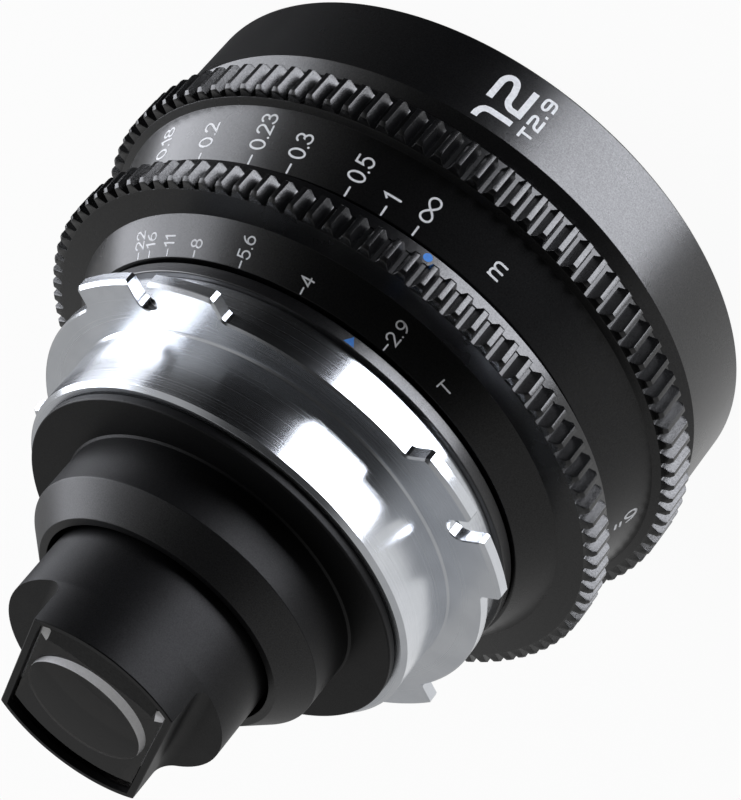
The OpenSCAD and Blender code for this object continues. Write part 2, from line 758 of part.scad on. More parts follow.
// Focus ring with toothed band and tapered scale
module focus_ring() {
    bore = focus_bearing_r + run_fit;
    color([0.07, 0.07, 0.08])
        difference() {
            union() {
                turned([[bore, focus_front_z], [focus_root_r - strip_bevel, focus_front_z],
                    [focus_root_r, focus_front_z + strip_bevel], [focus_root_r, focus_gear_z - band_lean],
                    [focus_front_r, focus_gear_z],
                    [focus_rear_r, focus_back_z], [bore, focus_back_z]]);
                gear_band(focus_teeth, focus_root_r, focus_tip_r, bore + 1,
                    focus_front_z + focus_strip, focus_gear_z - band_lean, focus_phase);
            }
            for (d = key_dirs)
                radial_pin(key_r + seat_fit, bore - 1, bore + key_depth, key_z, d);
        }
}

// Keys that tie the focus ring to the sleeve through slots in the main barrel
module focus_keys() {
    color([0.7, 0.7, 0.72])
        for (d = key_dirs)
            radial_pin(key_r, sleeve_front_r - sleeve_wall + free_gap,
                focus_bearing_r + run_fit + key_depth, key_z, d);
}

// Sleeve that the focus ring turns, with the helicoid bore for the carrier
module focus_sleeve() {
    color([0.62, 0.5, 0.28])
        difference() {
            turned([[sleeve_front_r - sleeve_wall, sleeve_front_z], [sleeve_front_r, sleeve_front_z],
                [sleeve_front_r, sleeve_waist_z], [sleeve_waist_r, sleeve_waist_z],
                [sleeve_waist_r, sleeve_rear_z], [sleeve_rear_r, sleeve_rear_z],
                [sleeve_rear_r, sleeve_end_z], [sleeve_bore_r, sleeve_end_z],
                [sleeve_bore_r, sleeve_rear_step_z],
                [sleeve_waist_r - sleeve_waist_wall, sleeve_rear_step_z],
                [sleeve_waist_r - sleeve_waist_wall, sleeve_step_z],
                [sleeve_front_r - sleeve_wall, sleeve_step_z]]);
            for (d = key_dirs)
                radial_pin(key_r + seat_fit, sleeve_front_r - sleeve_wall - 1, sleeve_front_r + 1, key_z, d);
            pin_slot(iris_pin_r + free_gap, sleeve_waist_r - sleeve_waist_wall - 1, sleeve_waist_r + 1,
                iris_pin_z, iris_pin_dir - iris_close_turn, iris_pin_dir + iris_open_turn + focus_turn);
        }
}

// Sliding carrier of the rear group
module carrier() {
    color([0.62, 0.5, 0.28])
        difference() {
            tube(tail_r + seat_fit, carrier_r, carrier_z, carrier_z + carrier_len);
            for (d = guide_dirs)
                rotate([0, 0, d])
                    translate([guide_pitch_r, 0, carrier_z - 1])
                    cylinder(r = guide_r + run_fit, h = carrier_len + 2);
        }
}

// Rear window outline: a circle cut by two straight sides
module window_outline(radius, half) {
    intersection() {
        circle(r = radius);
        square([2 * half, 4 * radius], center = true);
    }
}

// Tail tube with two flats and a double-D rear window
module tail_tube() {
    color([0.09, 0.09, 0.1])
        difference() {
            turned([[group_bore_r, group_front_z], [tail_r, group_front_z], [tail_r, tail_end_z],
                [0, tail_end_z], [0, pocket_z + free_gap], [light_bore_r, pocket_z + free_gap],
                [light_bore_r, group_seat_z], [group_bore_r, group_seat_z]]);
            for (s = [-1, 1])
                translate([s > 0 ? flat_half : -flat_half - tail_r, -tail_r - 1, flat_z])
                    cube([tail_r, 2 * tail_r + 2, flat_len + 1]);
            translate([0, 0, pocket_z])
                linear_extrude(tail_end_z - pocket_z + 1)
                window_outline(window_r, window_half);
        }
}

// Lock ring ahead of the rear group's first element
module group_lock_ring() {
    color([0.05, 0.05, 0.05])
        tube(light_bore_r - group_ledge, group_bore_r - seat_fit, group_lock_z, glass5_z);
}

module element_5() {
    color([0.6, 0.75, 0.85, 0.5])
        difference() {
            translate([0, 0, glass5_z]) cylinder(r = group_bore_r - seat_fit, h = spacer_a_z - glass5_z);
            translate([0, 0, glass5_z + glass5_t / 3 - glass5_curve]) sphere(r = glass5_curve);
        }
}

module spacer_a() {
    color([0.05, 0.05, 0.05]) tube(light_bore_r, group_bore_r - seat_fit, spacer_a_z, glass6_z);
}

// Thick cemented middle element of the rear group
module element_6() {
    color([0.6, 0.75, 0.85, 0.5])
        intersection() {
            translate([0, 0, glass6_z]) cylinder(r = group_bore_r - seat_fit, h = spacer_b_z - glass6_z);
            translate([0, 0, glass6_z + glass6_curve]) sphere(r = glass6_curve);
        }
}

module spacer_b() {
    color([0.05, 0.05, 0.05]) tube(light_bore_r, group_bore_r - seat_fit, spacer_b_z, glass7_z);
}

module element_7() {
    color([0.6, 0.75, 0.85, 0.5])
        difference() {
            translate([0, 0, glass7_z]) cylinder(r = group_bore_r - seat_fit, h = group_seat_z - glass7_z);
            translate([0, 0, group_seat_z - glass7_t / 3 + glass7_curve]) sphere(r = glass7_curve);
        }
}

// Rear element, trimmed straight to fit the double-D window
module rear_element() {
    vertex = tail_end_z - rear_sunk;
    color([0.6, 0.75, 0.85, 0.5])
        intersection() {
            translate([0, 0, pocket_z])
                linear_extrude(vertex - pocket_z)
                window_outline(window_r - seat_fit, window_half - seat_fit);
            translate([0, 0, vertex - rear_curve]) sphere(r = rear_curve);
        }
}

// Iris ring with toothed band and tapered scale
module iris_ring() {
    bore = iris_bearing_r + run_fit;
    color([0.07, 0.07, 0.08])
        difference() {
            union() {
                turned([[bore, iris_front_z], [iris_root_r, iris_front_z],
                    [iris_root_r, iris_gear_z - band_lean], [iris_front_r, iris_gear_z],
                    [iris_rear_r, iris_back_z], [bore, iris_back_z]]);
                gear_band(iris_teeth, iris_root_r, iris_tip_r, bore + 1,
                    iris_front_z, iris_gear_z - band_lean, iris_phase);
            }
            radial_pin(iris_pin_r + seat_fit, bore - 1, bore + iris_pin_depth, iris_pin_z, iris_pin_dir);
        }
}

// Pin that carries the iris ring's turn to the actuator
module iris_drive_pin() {
    color([0.7, 0.7, 0.72])
        radial_pin(iris_pin_r, chamber_r - iris_pin_in, iris_bearing_r + run_fit + iris_pin_depth,
            iris_pin_z, iris_pin_dir);
}

// Place of a drive pin at an iris ring angle, seen from the turning actuator
function pin_path(q) =
    let (p = [pivot_pitch_r, 0],
        open = polar(drive_pitch_r, drive_lead),
        arm = turn([open[0] - p[0], open[1] - p[1]], -(iris_open_turn - q) * blade_ratio))
    turn([p[0] + arm[0], p[1] + arm[1]], -q);

// Cam slot that a drive pin runs along
module cam_slot(width) {
    steps = 12;
    first = -iris_close_turn - 1;
    span = iris_open_turn + iris_close_turn + 2;
    path = [for (i = [0 : steps]) pin_path(first + span * i / steps)];
    side = [for (i = [0 : steps])
        let (a = path[max(i - 1, 0)],
            b = path[min(i + 1, steps)],
            d = [b[0] - a[0], b[1] - a[1]] / norm(b - a))
        [-d[1], d[0]] * width / 2];
    polygon(concat([for (i = [0 : steps]) path[i] + side[i]],
        [for (i = [steps : -1 : 0]) path[i] - side[i]]));
    translate(path[0]) circle(d = width);
    translate(path[steps]) circle(d = width);
}

// Cam ring that swings the blades
module iris_actuator() {
    color([0.55, 0.55, 0.57])
        difference() {
            translate([0, 0, actuator_z])
                linear_extrude(actuator_t)
                difference() {
                    circle(r = chamber_r - 2 * run_fit);
                    circle(r = blade_outer_r);
                    for (i = [1 : blade_count])
                        rotate(360 * i / blade_count) cam_slot(2 * drive_r + 0.24);
                }
            radial_pin(iris_pin_r + seat_fit, chamber_r - iris_pin_in, chamber_r + 1,
                iris_pin_z, iris_pin_dir);
        }
}

// Blade outline when open, with its pivot on +X
module blade_outline() {
    pivot = [pivot_pitch_r, 0];
    drive = polar(drive_pitch_r, drive_lead);
    arm = (drive - pivot) / norm(drive - pivot);
    side = [-arm[1], arm[0]] * (drive_r + 0.35);
    difference() {
        intersection() {
            circle(r = blade_outer_r);
            polygon(concat([[0, 0]],
                [for (i = [0 : 5]) polar(blade_outer_r * 1.3, 6 - (blade_span + 6) * i / 5)]));
        }
        circle(r = aperture_r);
    }
    polygon([polar(blade_outer_r - 0.6, 5), polar(blade_outer_r - 0.6, -9),
        pivot + [0.2, -pivot_r * 1.9], pivot + [0.2, pivot_r * 1.9]]);
    polygon([pivot + side, pivot - side, drive - side, drive + side]);
    translate(pivot) circle(r = pivot_r + 0.9);
    translate(drive) circle(r = drive_r + 0.6);
}

// One blade, with its pivot pin to the base and its drive pin to the actuator
module iris_blade(number) {
    low = blade_z + (number - 1) * blade_step;
    middle = low + blade_t / 2;
    drive = polar(drive_pitch_r, drive_lead);
    color([0.16, 0.16, 0.17])
        rotate([0, 0, 360 * number / blade_count])
        translate([pivot_pitch_r, 0, 0])
        rotate([0, 0, -rest_close])
        translate([-pivot_pitch_r, 0, 0]) {
            translate([0, 0, low]) linear_extrude(blade_t) blade_outline();
            translate([pivot_pitch_r, 0, middle]) cylinder(r = pivot_r, h = base_z + base_t * 0.7 - middle);
            translate([drive[0], drive[1], actuator_z + 0.4])
                cylinder(r = drive_r, h = middle - actuator_z - 0.4);
        }
}

front_barrel();
front_bezel();
front_cell();
element_1();
element_2();
element_3();
cell_lock_ring();
main_barrel();
mid_cell();
element_4();
iris_base();
index_collar();
mount_ring();
mount_plate();
rear_barrel();
guide_pins();
focus_ring();
focus_keys();
focus_sleeve();
carrier();
tail_tube();
group_lock_ring();
element_5();
spacer_a();
element_6();
spacer_b();
element_7();
rear_element();
iris_ring();
iris_drive_pin();
iris_actuator();
iris_blade(1);  // iris_blade_1
iris_blade(2);  // iris_blade_2
iris_blade(3);  // iris_blade_3
iris_blade(4);  // iris_blade_4
iris_blade(5);  // iris_blade_5
iris_blade(6);  // iris_blade_6
iris_blade(7);  // iris_blade_7
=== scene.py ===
import math

import bmesh
import bpy
from mathutils import Matrix, Vector


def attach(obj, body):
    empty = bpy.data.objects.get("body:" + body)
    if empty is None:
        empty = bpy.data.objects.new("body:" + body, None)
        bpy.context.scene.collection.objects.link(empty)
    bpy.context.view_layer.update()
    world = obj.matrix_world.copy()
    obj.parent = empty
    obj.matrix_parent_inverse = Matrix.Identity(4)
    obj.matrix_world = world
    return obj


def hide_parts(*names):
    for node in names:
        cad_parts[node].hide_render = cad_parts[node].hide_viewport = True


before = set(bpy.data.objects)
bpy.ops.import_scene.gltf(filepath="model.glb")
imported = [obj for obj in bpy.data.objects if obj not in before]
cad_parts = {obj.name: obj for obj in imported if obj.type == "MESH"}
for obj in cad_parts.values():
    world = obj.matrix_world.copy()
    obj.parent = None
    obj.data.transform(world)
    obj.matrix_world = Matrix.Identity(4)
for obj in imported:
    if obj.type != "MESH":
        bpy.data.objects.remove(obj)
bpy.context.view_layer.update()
print("frame loaded")

mm = 0.001
scene = bpy.context.scene
scene.view_settings.view_transform = "Standard"


# Evenly spread values, both ends included
def steps(first, last, count):
    return [first + (last - first) * k / count for k in range(count + 1)]


# Finishes
def newFinish(name):
    finish = bpy.data.materials.new(name)
    finish.use_nodes = True
    tree = finish.node_tree
    shader = tree.nodes["Principled BSDF"]
    return finish, tree, shader


def addNode(tree, kind, **values):
    node = tree.nodes.new(kind)
    for key, value in values.items():
        setattr(node, key, value)
    return node


def noiseFrom(tree, vector, scale, detail=3.0, roughness=0.55):
    noise = addNode(tree, "ShaderNodeTexNoise")
    noise.inputs["Scale"].default_value = scale
    noise.inputs["Detail"].default_value = detail
    noise.inputs["Roughness"].default_value = roughness
    tree.links.new(vector, noise.inputs["Vector"])
    return noise.outputs["Fac"]


def spread(tree, value, low, high, fromLow=0.3, fromHigh=0.7):
    span = addNode(tree, "ShaderNodeMapRange")
    span.inputs["From Min"].default_value = fromLow
    span.inputs["From Max"].default_value = fromHigh
    span.inputs["To Min"].default_value = low
    span.inputs["To Max"].default_value = high
    tree.links.new(value, span.inputs["Value"])
    return span.outputs["Result"]


def tintPair(tree, value, dark, light):
    mix = addNode(tree, "ShaderNodeMix", data_type="RGBA")
    first, second = [s for s in mix.inputs if s.type == "RGBA"]
    first.default_value = (*dark, 1)
    second.default_value = (*light, 1)
    tree.links.new(value, mix.inputs[0])
    return [s for s in mix.outputs if s.type == "RGBA"][0]


def bumpFrom(tree, height, strength, depth, under=None):
    bump = addNode(tree, "ShaderNodeBump")
    bump.inputs["Strength"].default_value = strength
    bump.inputs["Distance"].default_value = depth
    tree.links.new(height, bump.inputs["Height"])
    if under:
        tree.links.new(under, bump.inputs["Normal"])
    return bump.outputs["Normal"]


def objectCoords(tree):
    return addNode(tree, "ShaderNodeTexCoord").outputs["Object"]


# Bead-blasted black anodise: fine grain, a little patchy sheen
blastSettings = {"patchScale": 140.0, "roughSpread": 0.012, "shineLow": 0.72, "shineHigh": 1.28, "bump": 0.5}


def blastedBlack(name, dark, light, rough, shine, grainScale, grainDepth):
    s = blastSettings
    finish, tree, shader = newFinish(name)
    coords = objectCoords(tree)
    grain = noiseFrom(tree, coords, grainScale, detail=4.0, roughness=0.7)
    patch = noiseFrom(tree, coords, s["patchScale"])
    tint = tintPair(tree, spread(tree, grain, 0, 1), dark, light)
    sheen = spread(tree, patch, rough - s["roughSpread"], rough + s["roughSpread"])
    sparkle = spread(tree, grain, shine * s["shineLow"], shine * s["shineHigh"])
    tree.links.new(tint, shader.inputs["Base Color"])
    tree.links.new(sheen, shader.inputs["Roughness"])
    tree.links.new(bumpFrom(tree, grain, s["bump"], grainDepth), shader.inputs["Normal"])
    tree.links.new(sparkle, shader.inputs["Specular IOR Level"])
    return finish


# Turned bright metal: fine rings that follow radius and height
turnSettings = {
    "patchScale": 220.0, "speckScale": 5200.0, "speckBump": 0.02, "speckDepth": 0.000003,
    "ringDepth": 0.000006, "roughLow": 0.05, "roughHigh": 0.06, "brushTurn": 0.25,
}


def turnedMetal(name, dark, light, rough, ringScale, ringStrength, brushed=0.0):
    s = turnSettings
    finish, tree, shader = newFinish(name)
    coords = objectCoords(tree)
    split = addNode(tree, "ShaderNodeSeparateXYZ")
    tree.links.new(coords, split.inputs["Vector"])
    flat = addNode(tree, "ShaderNodeCombineXYZ")
    tree.links.new(split.outputs["X"], flat.inputs["X"])
    tree.links.new(split.outputs["Y"], flat.inputs["Y"])
    radius = addNode(tree, "ShaderNodeVectorMath", operation="LENGTH")
    tree.links.new(flat.outputs["Vector"], radius.inputs[0])
    along = addNode(tree, "ShaderNodeMath", operation="ADD")
    tree.links.new(radius.outputs["Value"], along.inputs[0])
    tree.links.new(split.outputs["Z"], along.inputs[1])
    rings = addNode(tree, "ShaderNodeTexNoise", noise_dimensions="1D")
    rings.inputs["Scale"].default_value = ringScale
    rings.inputs["Detail"].default_value = 4.0
    rings.inputs["Roughness"].default_value = 0.7
    tree.links.new(along.outputs["Value"], rings.inputs["W"])
    patch = noiseFrom(tree, coords, s["patchScale"], detail=4.0)
    speck = noiseFrom(tree, coords, s["speckScale"], detail=2.0)
    sheen = spread(tree, rings.outputs["Fac"], rough - s["roughLow"], rough + s["roughHigh"])
    grain = bumpFrom(tree, speck, s["speckBump"], s["speckDepth"])
    grooves = bumpFrom(tree, rings.outputs["Fac"], ringStrength, s["ringDepth"], grain)
    tree.links.new(tintPair(tree, spread(tree, patch, 0, 1), dark, light), shader.inputs["Base Color"])
    tree.links.new(sheen, shader.inputs["Roughness"])
    tree.links.new(grooves, shader.inputs["Normal"])
    shader.inputs["Metallic"].default_value = 1.0
    if brushed:  # the tool marks run round the axis
        around = addNode(tree, "ShaderNodeVectorMath", operation="CROSS_PRODUCT")
        around.inputs[0].default_value = (0, 0, 1)
        tree.links.new(flat.outputs["Vector"], around.inputs[1])
        unit = addNode(tree, "ShaderNodeVectorMath", operation="NORMALIZE")
        tree.links.new(around.outputs["Vector"], unit.inputs[0])
        tree.links.new(unit.outputs["Vector"], shader.inputs["Tangent"])
        shader.inputs["Anisotropic"].default_value = brushed
        shader.inputs["Anisotropic Rotation"].default_value = s["brushTurn"]
    return finish


# Paint filled into the engraving
paintSettings = {"scale": 2600.0, "roughLow": 0.42, "roughHigh": 0.6, "bump": 0.15, "depth": 0.00001}


def fillPaint(name, dark, light):
    s = paintSettings
    finish, tree, shader = newFinish(name)
    coords = objectCoords(tree)
    patch = noiseFrom(tree, coords, s["scale"])
    tree.links.new(tintPair(tree, spread(tree, patch, 0, 1), dark, light), shader.inputs["Base Color"])
    tree.links.new(spread(tree, patch, s["roughLow"], s["roughHigh"]), shader.inputs["Roughness"])
    tree.links.new(bumpFrom(tree, patch, s["bump"], s["depth"]), shader.inputs["Normal"])
    return finish


# Polished glass with a thin coating and faint dust
glassSettings = {"dustScale": 900.0, "dust": (0.0, 0.03, 0.55, 0.85), "coatRough": 0.01, "coatBend": 1.7}


def coatedGlass(name, colour, bend, coatColour, coat=0.6):
    s = glassSettings
    finish, tree, shader = newFinish(name)
    coords = objectCoords(tree)
    dust = noiseFrom(tree, coords, s["dustScale"], detail=5.0, roughness=0.65)
    tree.links.new(spread(tree, dust, *s["dust"]), shader.inputs["Roughness"])
    shader.inputs["Base Color"].default_value = (*colour, 1)
    shader.inputs["Transmission Weight"].default_value = 1.0
    shader.inputs["IOR"].default_value = bend
    shader.inputs["Coat Weight"].default_value = coat
    shader.inputs["Coat Roughness"].default_value = s["coatRough"]
    shader.inputs["Coat IOR"].default_value = s["coatBend"]
    shader.inputs["Coat Tint"].default_value = (*coatColour, 1)
    return finish


# Blacks: dark and light tone, roughness, shine, grain scale, grain depth
blacks = {
    "barrelBlack": ((0.0012, 0.0012, 0.0014), (0.003, 0.003, 0.0034), 0.28, 0.70, 5200.0, 0.00002),
    "ringBlack": ((0.001, 0.001, 0.0012), (0.002, 0.002, 0.0022), 0.28, 0.50, 5600.0, 0.000012),
    "stripBlack": ((0.0012, 0.0012, 0.0014), (0.003, 0.003, 0.0034), 0.24, 0.65, 5200.0, 0.00002),
    "toothBlack": ((0.0015, 0.0015, 0.0017), (0.004, 0.004, 0.0044), 0.27, 0.7, 4200.0, 0.00003),
    "hubBlack": ((0.002, 0.002, 0.0023), (0.004, 0.004, 0.0044), 0.44, 0.2, 6400.0, 0.000014),
    "taperBlack": ((0.003, 0.003, 0.0034), (0.006, 0.006, 0.0066), 0.40, 0.55, 6400.0, 0.000014),
    "tailBlack": ((0.002, 0.002, 0.0023), (0.004, 0.004, 0.0044), 0.44, 0.2, 6400.0, 0.000014),
    "collarBlack": ((0.003, 0.003, 0.0035), (0.006, 0.006, 0.0066), 0.28, 0.8, 6400.0, 0.00001),
    "insideBlack": ((0.004, 0.004, 0.004), (0.008, 0.008, 0.008), 0.6, 0.2, 3000.0, 0.00003),
}
# Metals: dark and light tone, roughness, ring scale, ring strength, brushing
metals = {
    "mountSilver": ((0.70, 0.725, 0.765), (0.78, 0.805, 0.845), 0.22, 5200.0, 0.03, 0.75),
    "sleeveBronze": ((0.42, 0.27, 0.10), (0.60, 0.42, 0.18), 0.32, 3600.0, 0.25),
    "pinSteel": ((0.52, 0.53, 0.55), (0.62, 0.63, 0.65), 0.24, 5200.0, 0.2),
    "bladeSteel": ((0.030, 0.030, 0.034), (0.055, 0.055, 0.060), 0.42, 2600.0, 0.2),
}
# Paints and ground glass: dark and light tone
paints = {
    "markWhite": ((0.70, 0.71, 0.72), (0.86, 0.87, 0.88)),
    "markBlue": ((0.010, 0.14, 0.50), (0.016, 0.21, 0.66)),
    # pale ground glass, its tone raised further as painted light for light passing through the glass
    "groundGlassAndPaintedLight": ((0.86, 0.86, 0.87), (0.96, 0.96, 0.97)),
}
# Glass: colour, index, tint and weight of the coating
glasses = {
    # the rear glass is tinted nearly black as painted shade for the dark inside of the lens seen through it
    "rearGlassShaded": ((0.05, 0.047, 0.045), 1.25, (0.90, 0.95, 1.0), 0.0),
    "frontGlass": ((0.97, 0.98, 0.99), 1.60, (0.72, 0.62, 1.0)),
}
finishes = {}
makers = ((blastedBlack, blacks), (turnedMetal, metals), (fillPaint, paints), (coatedGlass, glasses))
for make, table in makers:
    for label, values in table.items():
        finishes[label] = make(label, *values)
print("finishes ready")


# Meshes
turnSegments = 256


# Rounds the corners of a profile, given as (radius, height, rounding)
def roundedProfile(corners, parts=3, guard=0.04, longest=0.42, guardShare=0.2):
    section = [Vector((r, z)) for r, z, edge in corners]
    points = []
    for i, (r, z, edge) in enumerate(corners):
        here = section[i]
        before = section[i - 1] - here
        after = section[(i + 1) % len(section)] - here
        if edge <= 0:
            points.append(here)
            continue
        turn = before.angle(after)
        reach = min(edge / math.tan(turn / 2), longest * before.length, longest * after.length)
        radius = reach * math.tan(turn / 2)
        inDir, outDir = before.normalized(), after.normalized()
        centre = here + (inDir + outDir).normalized() * (radius / math.sin(turn / 2))
        start, end = here + inDir * reach, here + outDir * reach
        first = math.atan2(start.y - centre.y, start.x - centre.x)
        sweep = math.atan2(end.y - centre.y, end.x - centre.x) - first
        sweep = (sweep + math.pi) % (2 * math.pi) - math.pi
        # a guard point keeps the flat side's shading flat
        points.append(start + inDir * min(guard, guardShare * before.length))
        for angle in steps(first, first + sweep, parts):
            points.append(centre + radius * Vector((math.cos(angle), math.sin(angle))))
        points.append(end + outDir * min(guard, guardShare * after.length))
    return points


def turnedMesh(name, corners, segments=turnSegments):
    points = roundedProfile(corners)
    area = sum(a.x * b.y - b.x * a.y for a, b in zip(points, points[1:] + points[:1]))
    if area < 0:
        points.reverse()
    verts, faces = [], []
    for point in points:
        for k in range(segments):
            angle = 2 * math.pi * k / segments
            verts.append((point.x * mm * math.cos(angle), point.x * mm * math.sin(angle), point.y * mm))
    rings = len(points)
    for i in range(rings):
        j = (i + 1) % rings
        for k in range(segments):
            n = (k + 1) % segments
            faces.append((i * segments + k, i * segments + n, j * segments + n, j * segments + k))
    mesh = bpy.data.meshes.new(name)
    mesh.from_pydata(verts, [], faces)
    smooth(mesh)
    return mesh


def smooth(mesh, limit=32):
    mesh.polygons.foreach_set("use_smooth", [True] * len(mesh.polygons))
    mesh.set_sharp_from_angle(angle=math.radians(limit))
    mesh.update()


def fixNormals(mesh):
    shape = bmesh.new()
    shape.from_mesh(mesh)
    bmesh.ops.recalc_face_normals(shape, faces=shape.faces)
    shape.to_mesh(mesh)
    shape.free()


def addPiece(name, mesh, body, finish, replaced=()):
    piece = bpy.data.objects.new(name, mesh)
    scene.collection.objects.link(piece)
    mesh.materials.clear()
    mesh.materials.append(finishes[finish])
    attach(piece, body)
    if replaced:
        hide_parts(*replaced)


def bakedMesh(holder, name):
    graph = bpy.context.evaluated_depsgraph_get()
    mesh = bpy.data.meshes.new_from_object(holder.evaluated_get(graph))
    mesh.name = name
    bpy.data.objects.remove(holder)
    return mesh


# Front barrel, with its filter thread
barrelSizes = {
    "radius": 40.0, "length": 12.6, "rearBevel": 1.1, "bevelLength": 1.6, "rimBevel": 0.4,
    "threadRadius": 38.1, "threadEnd": 3.2, "threadPitch": 0.75, "threadHeight": 0.42, "threadStart": 0.1,
    "threadLead": 0.3, "reliefRadius": 38.6, "reliefEnd": 4.2, "seatRadius": 36.6, "flangeHeight": 11.0,
    "bearingRadius": 34.44, "edge": 0.12, "boreEdge": 0.1,
}


def makeFrontBarrel(s):
    radius, thread, edge = s["radius"], s["threadRadius"], s["edge"]
    corners = [
        (radius - s["rimBevel"], 0, edge), (radius, s["rimBevel"], edge),
        (radius, s["length"] - s["bevelLength"], edge), (radius - s["rearBevel"], s["length"], edge),
        (s["bearingRadius"], s["length"], s["boreEdge"]), (s["bearingRadius"], s["flangeHeight"], 0),
        (s["seatRadius"], s["flangeHeight"], 0), (s["seatRadius"], s["reliefEnd"], 0),
        (s["reliefRadius"], s["reliefEnd"], 0), (s["reliefRadius"], s["threadEnd"], 0),
        (thread, s["threadEnd"], 0),
    ]
    height = s["threadEnd"] - s["threadStart"]
    while height > s["rimBevel"] + s["threadPitch"]:  # rings of the filter thread
        corners.append((thread, height, 0))
        corners.append((thread + s["threadHeight"], height - s["threadPitch"] / 2, 0))
        height -= s["threadPitch"]
    corners.append((thread, s["rimBevel"] + s["threadLead"], 0))
    corners.append((thread + s["rimBevel"], 0, s["boreEdge"]))
    mesh = turnedMesh("front_barrel_shell", corners)
    addPiece("front_barrel_shell", mesh, "lens_body", "barrelBlack", ["front_barrel"])


makeFrontBarrel(barrelSizes)
print("front barrel made")


# Toothed rings
focusSizes = {
    "teeth": 102, "phase": -0.3, "root": 40.0, "tip": 41.6, "low": 12.9, "frontBevel": 0.7, "toothLow": 14.3,
    "toothHigh": 19.0, "high": 19.4, "scaleFront": 39.0, "scaleRear": 36.3, "rear": 26.9, "bore": 34.45,
}
irisSizes = {
    "teeth": 97, "phase": -0.7, "root": 38.0, "tip": 39.6, "low": 30.1, "frontBevel": 0.08, "toothLow": 30.1,
    "toothHigh": 33.9, "high": 34.3, "scaleFront": 34.6, "scaleRear": 31.6, "rear": 38.7, "bore": 29.85,
}
ringEdges = {"bore": 0.08, "front": 0.14, "crest": 0.06, "scale": 0.04, "rear": 0.15}
toothSizes = {
    "module": 0.8, "flank": 20.0, "endBevel": 0.4, "edge": 0.07, "edgeShape": 0.6, "edgeAbove": 0.5,
    "sharp": 20, "sunk": 0.2, "fillet": 0.16, "flare": 0.45, "smoothLimit": 40,
}


def toothHalf(teeth, radius):
    pitch = toothSizes["module"] * teeth / 2
    wide = math.pi * toothSizes["module"] / 4 - (radius - pitch) * math.tan(math.radians(toothSizes["flank"]))
    return wide / radius


def toothMesh(name, s):
    t = toothSizes
    low, high, tip, bevel = s["toothLow"], s["toothHigh"], s["tip"], t["endBevel"]
    foot, rise = s["root"] - t["sunk"], s["root"] + t["fillet"]
    flare = toothHalf(s["teeth"], s["root"]) + t["fillet"] * t["flare"] / s["root"]
    shape = bmesh.new()
    rows = []
    for z, top in ((low, tip - bevel), (low + bevel, tip), (high - bevel, tip), (high, tip - bevel)):
        half = [(foot, flare), (s["root"], flare)]
        half += [(radius, toothHalf(s["teeth"], radius)) for radius in (rise, top)]
        row = []
        for radius, side in [(r, -a) for r, a in half] + half[::-1]:
            angle = side - math.pi / 2
            place = (radius * mm * math.cos(angle), radius * mm * math.sin(angle), z * mm)
            row.append(shape.verts.new(place))
        rows.append(row)
    count = len(rows[0])
    for a, b in zip(rows, rows[1:]):
        for k in range(count):
            shape.faces.new((a[k], a[(k + 1) % count], b[(k + 1) % count], b[k]))
    shape.faces.new(rows[0][::-1])
    shape.faces.new(rows[-1])
    bmesh.ops.recalc_face_normals(shape, faces=shape.faces)
    above, sharp = (s["root"] + t["edgeAbove"]) * mm, math.radians(t["sharp"])
    upper = [e for e in shape.edges
             if max(v.co.xy.length for v in e.verts) > above and e.calc_face_angle() > sharp]
    bmesh.ops.bevel(shape, geom=upper, offset=t["edge"] * mm, segments=2, profile=t["edgeShape"],
                    affect="EDGES", clamp_overlap=True)
    mesh = bpy.data.meshes.new(name)
    shape.to_mesh(mesh)
    shape.free()
    smooth(mesh, t["smoothLimit"])
    return mesh


def toothRowTree():
    tree = bpy.data.node_groups.new("toothRow", "GeometryNodeTree")
    names = {}
    for label, kind in (("Tooth", "Object"), ("Teeth", "Int"), ("Phase", "Float"), ("Finish", "Material")):
        socket = tree.interface.new_socket(label, in_out="INPUT", socket_type="NodeSocket" + kind)
        names[label] = socket.identifier
    tree.interface.new_socket("Geometry", in_out="OUTPUT", socket_type="NodeSocketGeometry")
    source, result = addNode(tree, "NodeGroupInput"), addNode(tree, "NodeGroupOutput")
    row = addNode(tree, "GeometryNodeMeshLine")
    row.inputs["Offset"].default_value = (0, 0, 0)
    index = addNode(tree, "GeometryNodeInputIndex")
    step = addNode(tree, "ShaderNodeMath", operation="DIVIDE")
    step.inputs[0].default_value = 2 * math.pi
    angle = addNode(tree, "ShaderNodeMath", operation="MULTIPLY_ADD")
    turn = addNode(tree, "ShaderNodeCombineXYZ")
    tooth = addNode(tree, "GeometryNodeObjectInfo")
    place = addNode(tree, "GeometryNodeInstanceOnPoints")
    real = addNode(tree, "GeometryNodeRealizeInstances")
    paint = addNode(tree, "GeometryNodeSetMaterial")
    link = tree.links.new
    link(source.outputs["Teeth"], row.inputs["Count"])
    link(source.outputs["Teeth"], step.inputs[1])
    link(index.outputs["Index"], angle.inputs[0])
    link(step.outputs["Value"], angle.inputs[1])
    link(source.outputs["Phase"], angle.inputs[2])
    link(angle.outputs["Value"], turn.inputs["Z"])
    link(source.outputs["Tooth"], tooth.inputs["Object"])
    link(row.outputs["Mesh"], place.inputs["Points"])
    link(tooth.outputs["Geometry"], place.inputs["Instance"])
    link(turn.outputs["Vector"], place.inputs["Rotation"])
    link(place.outputs["Instances"], real.inputs["Geometry"])
    link(real.outputs["Geometry"], paint.inputs["Geometry"])
    link(source.outputs["Finish"], paint.inputs["Material"])
    link(paint.outputs["Geometry"], result.inputs["Geometry"])
    return tree, names


toothTree, toothInputs = toothRowTree()


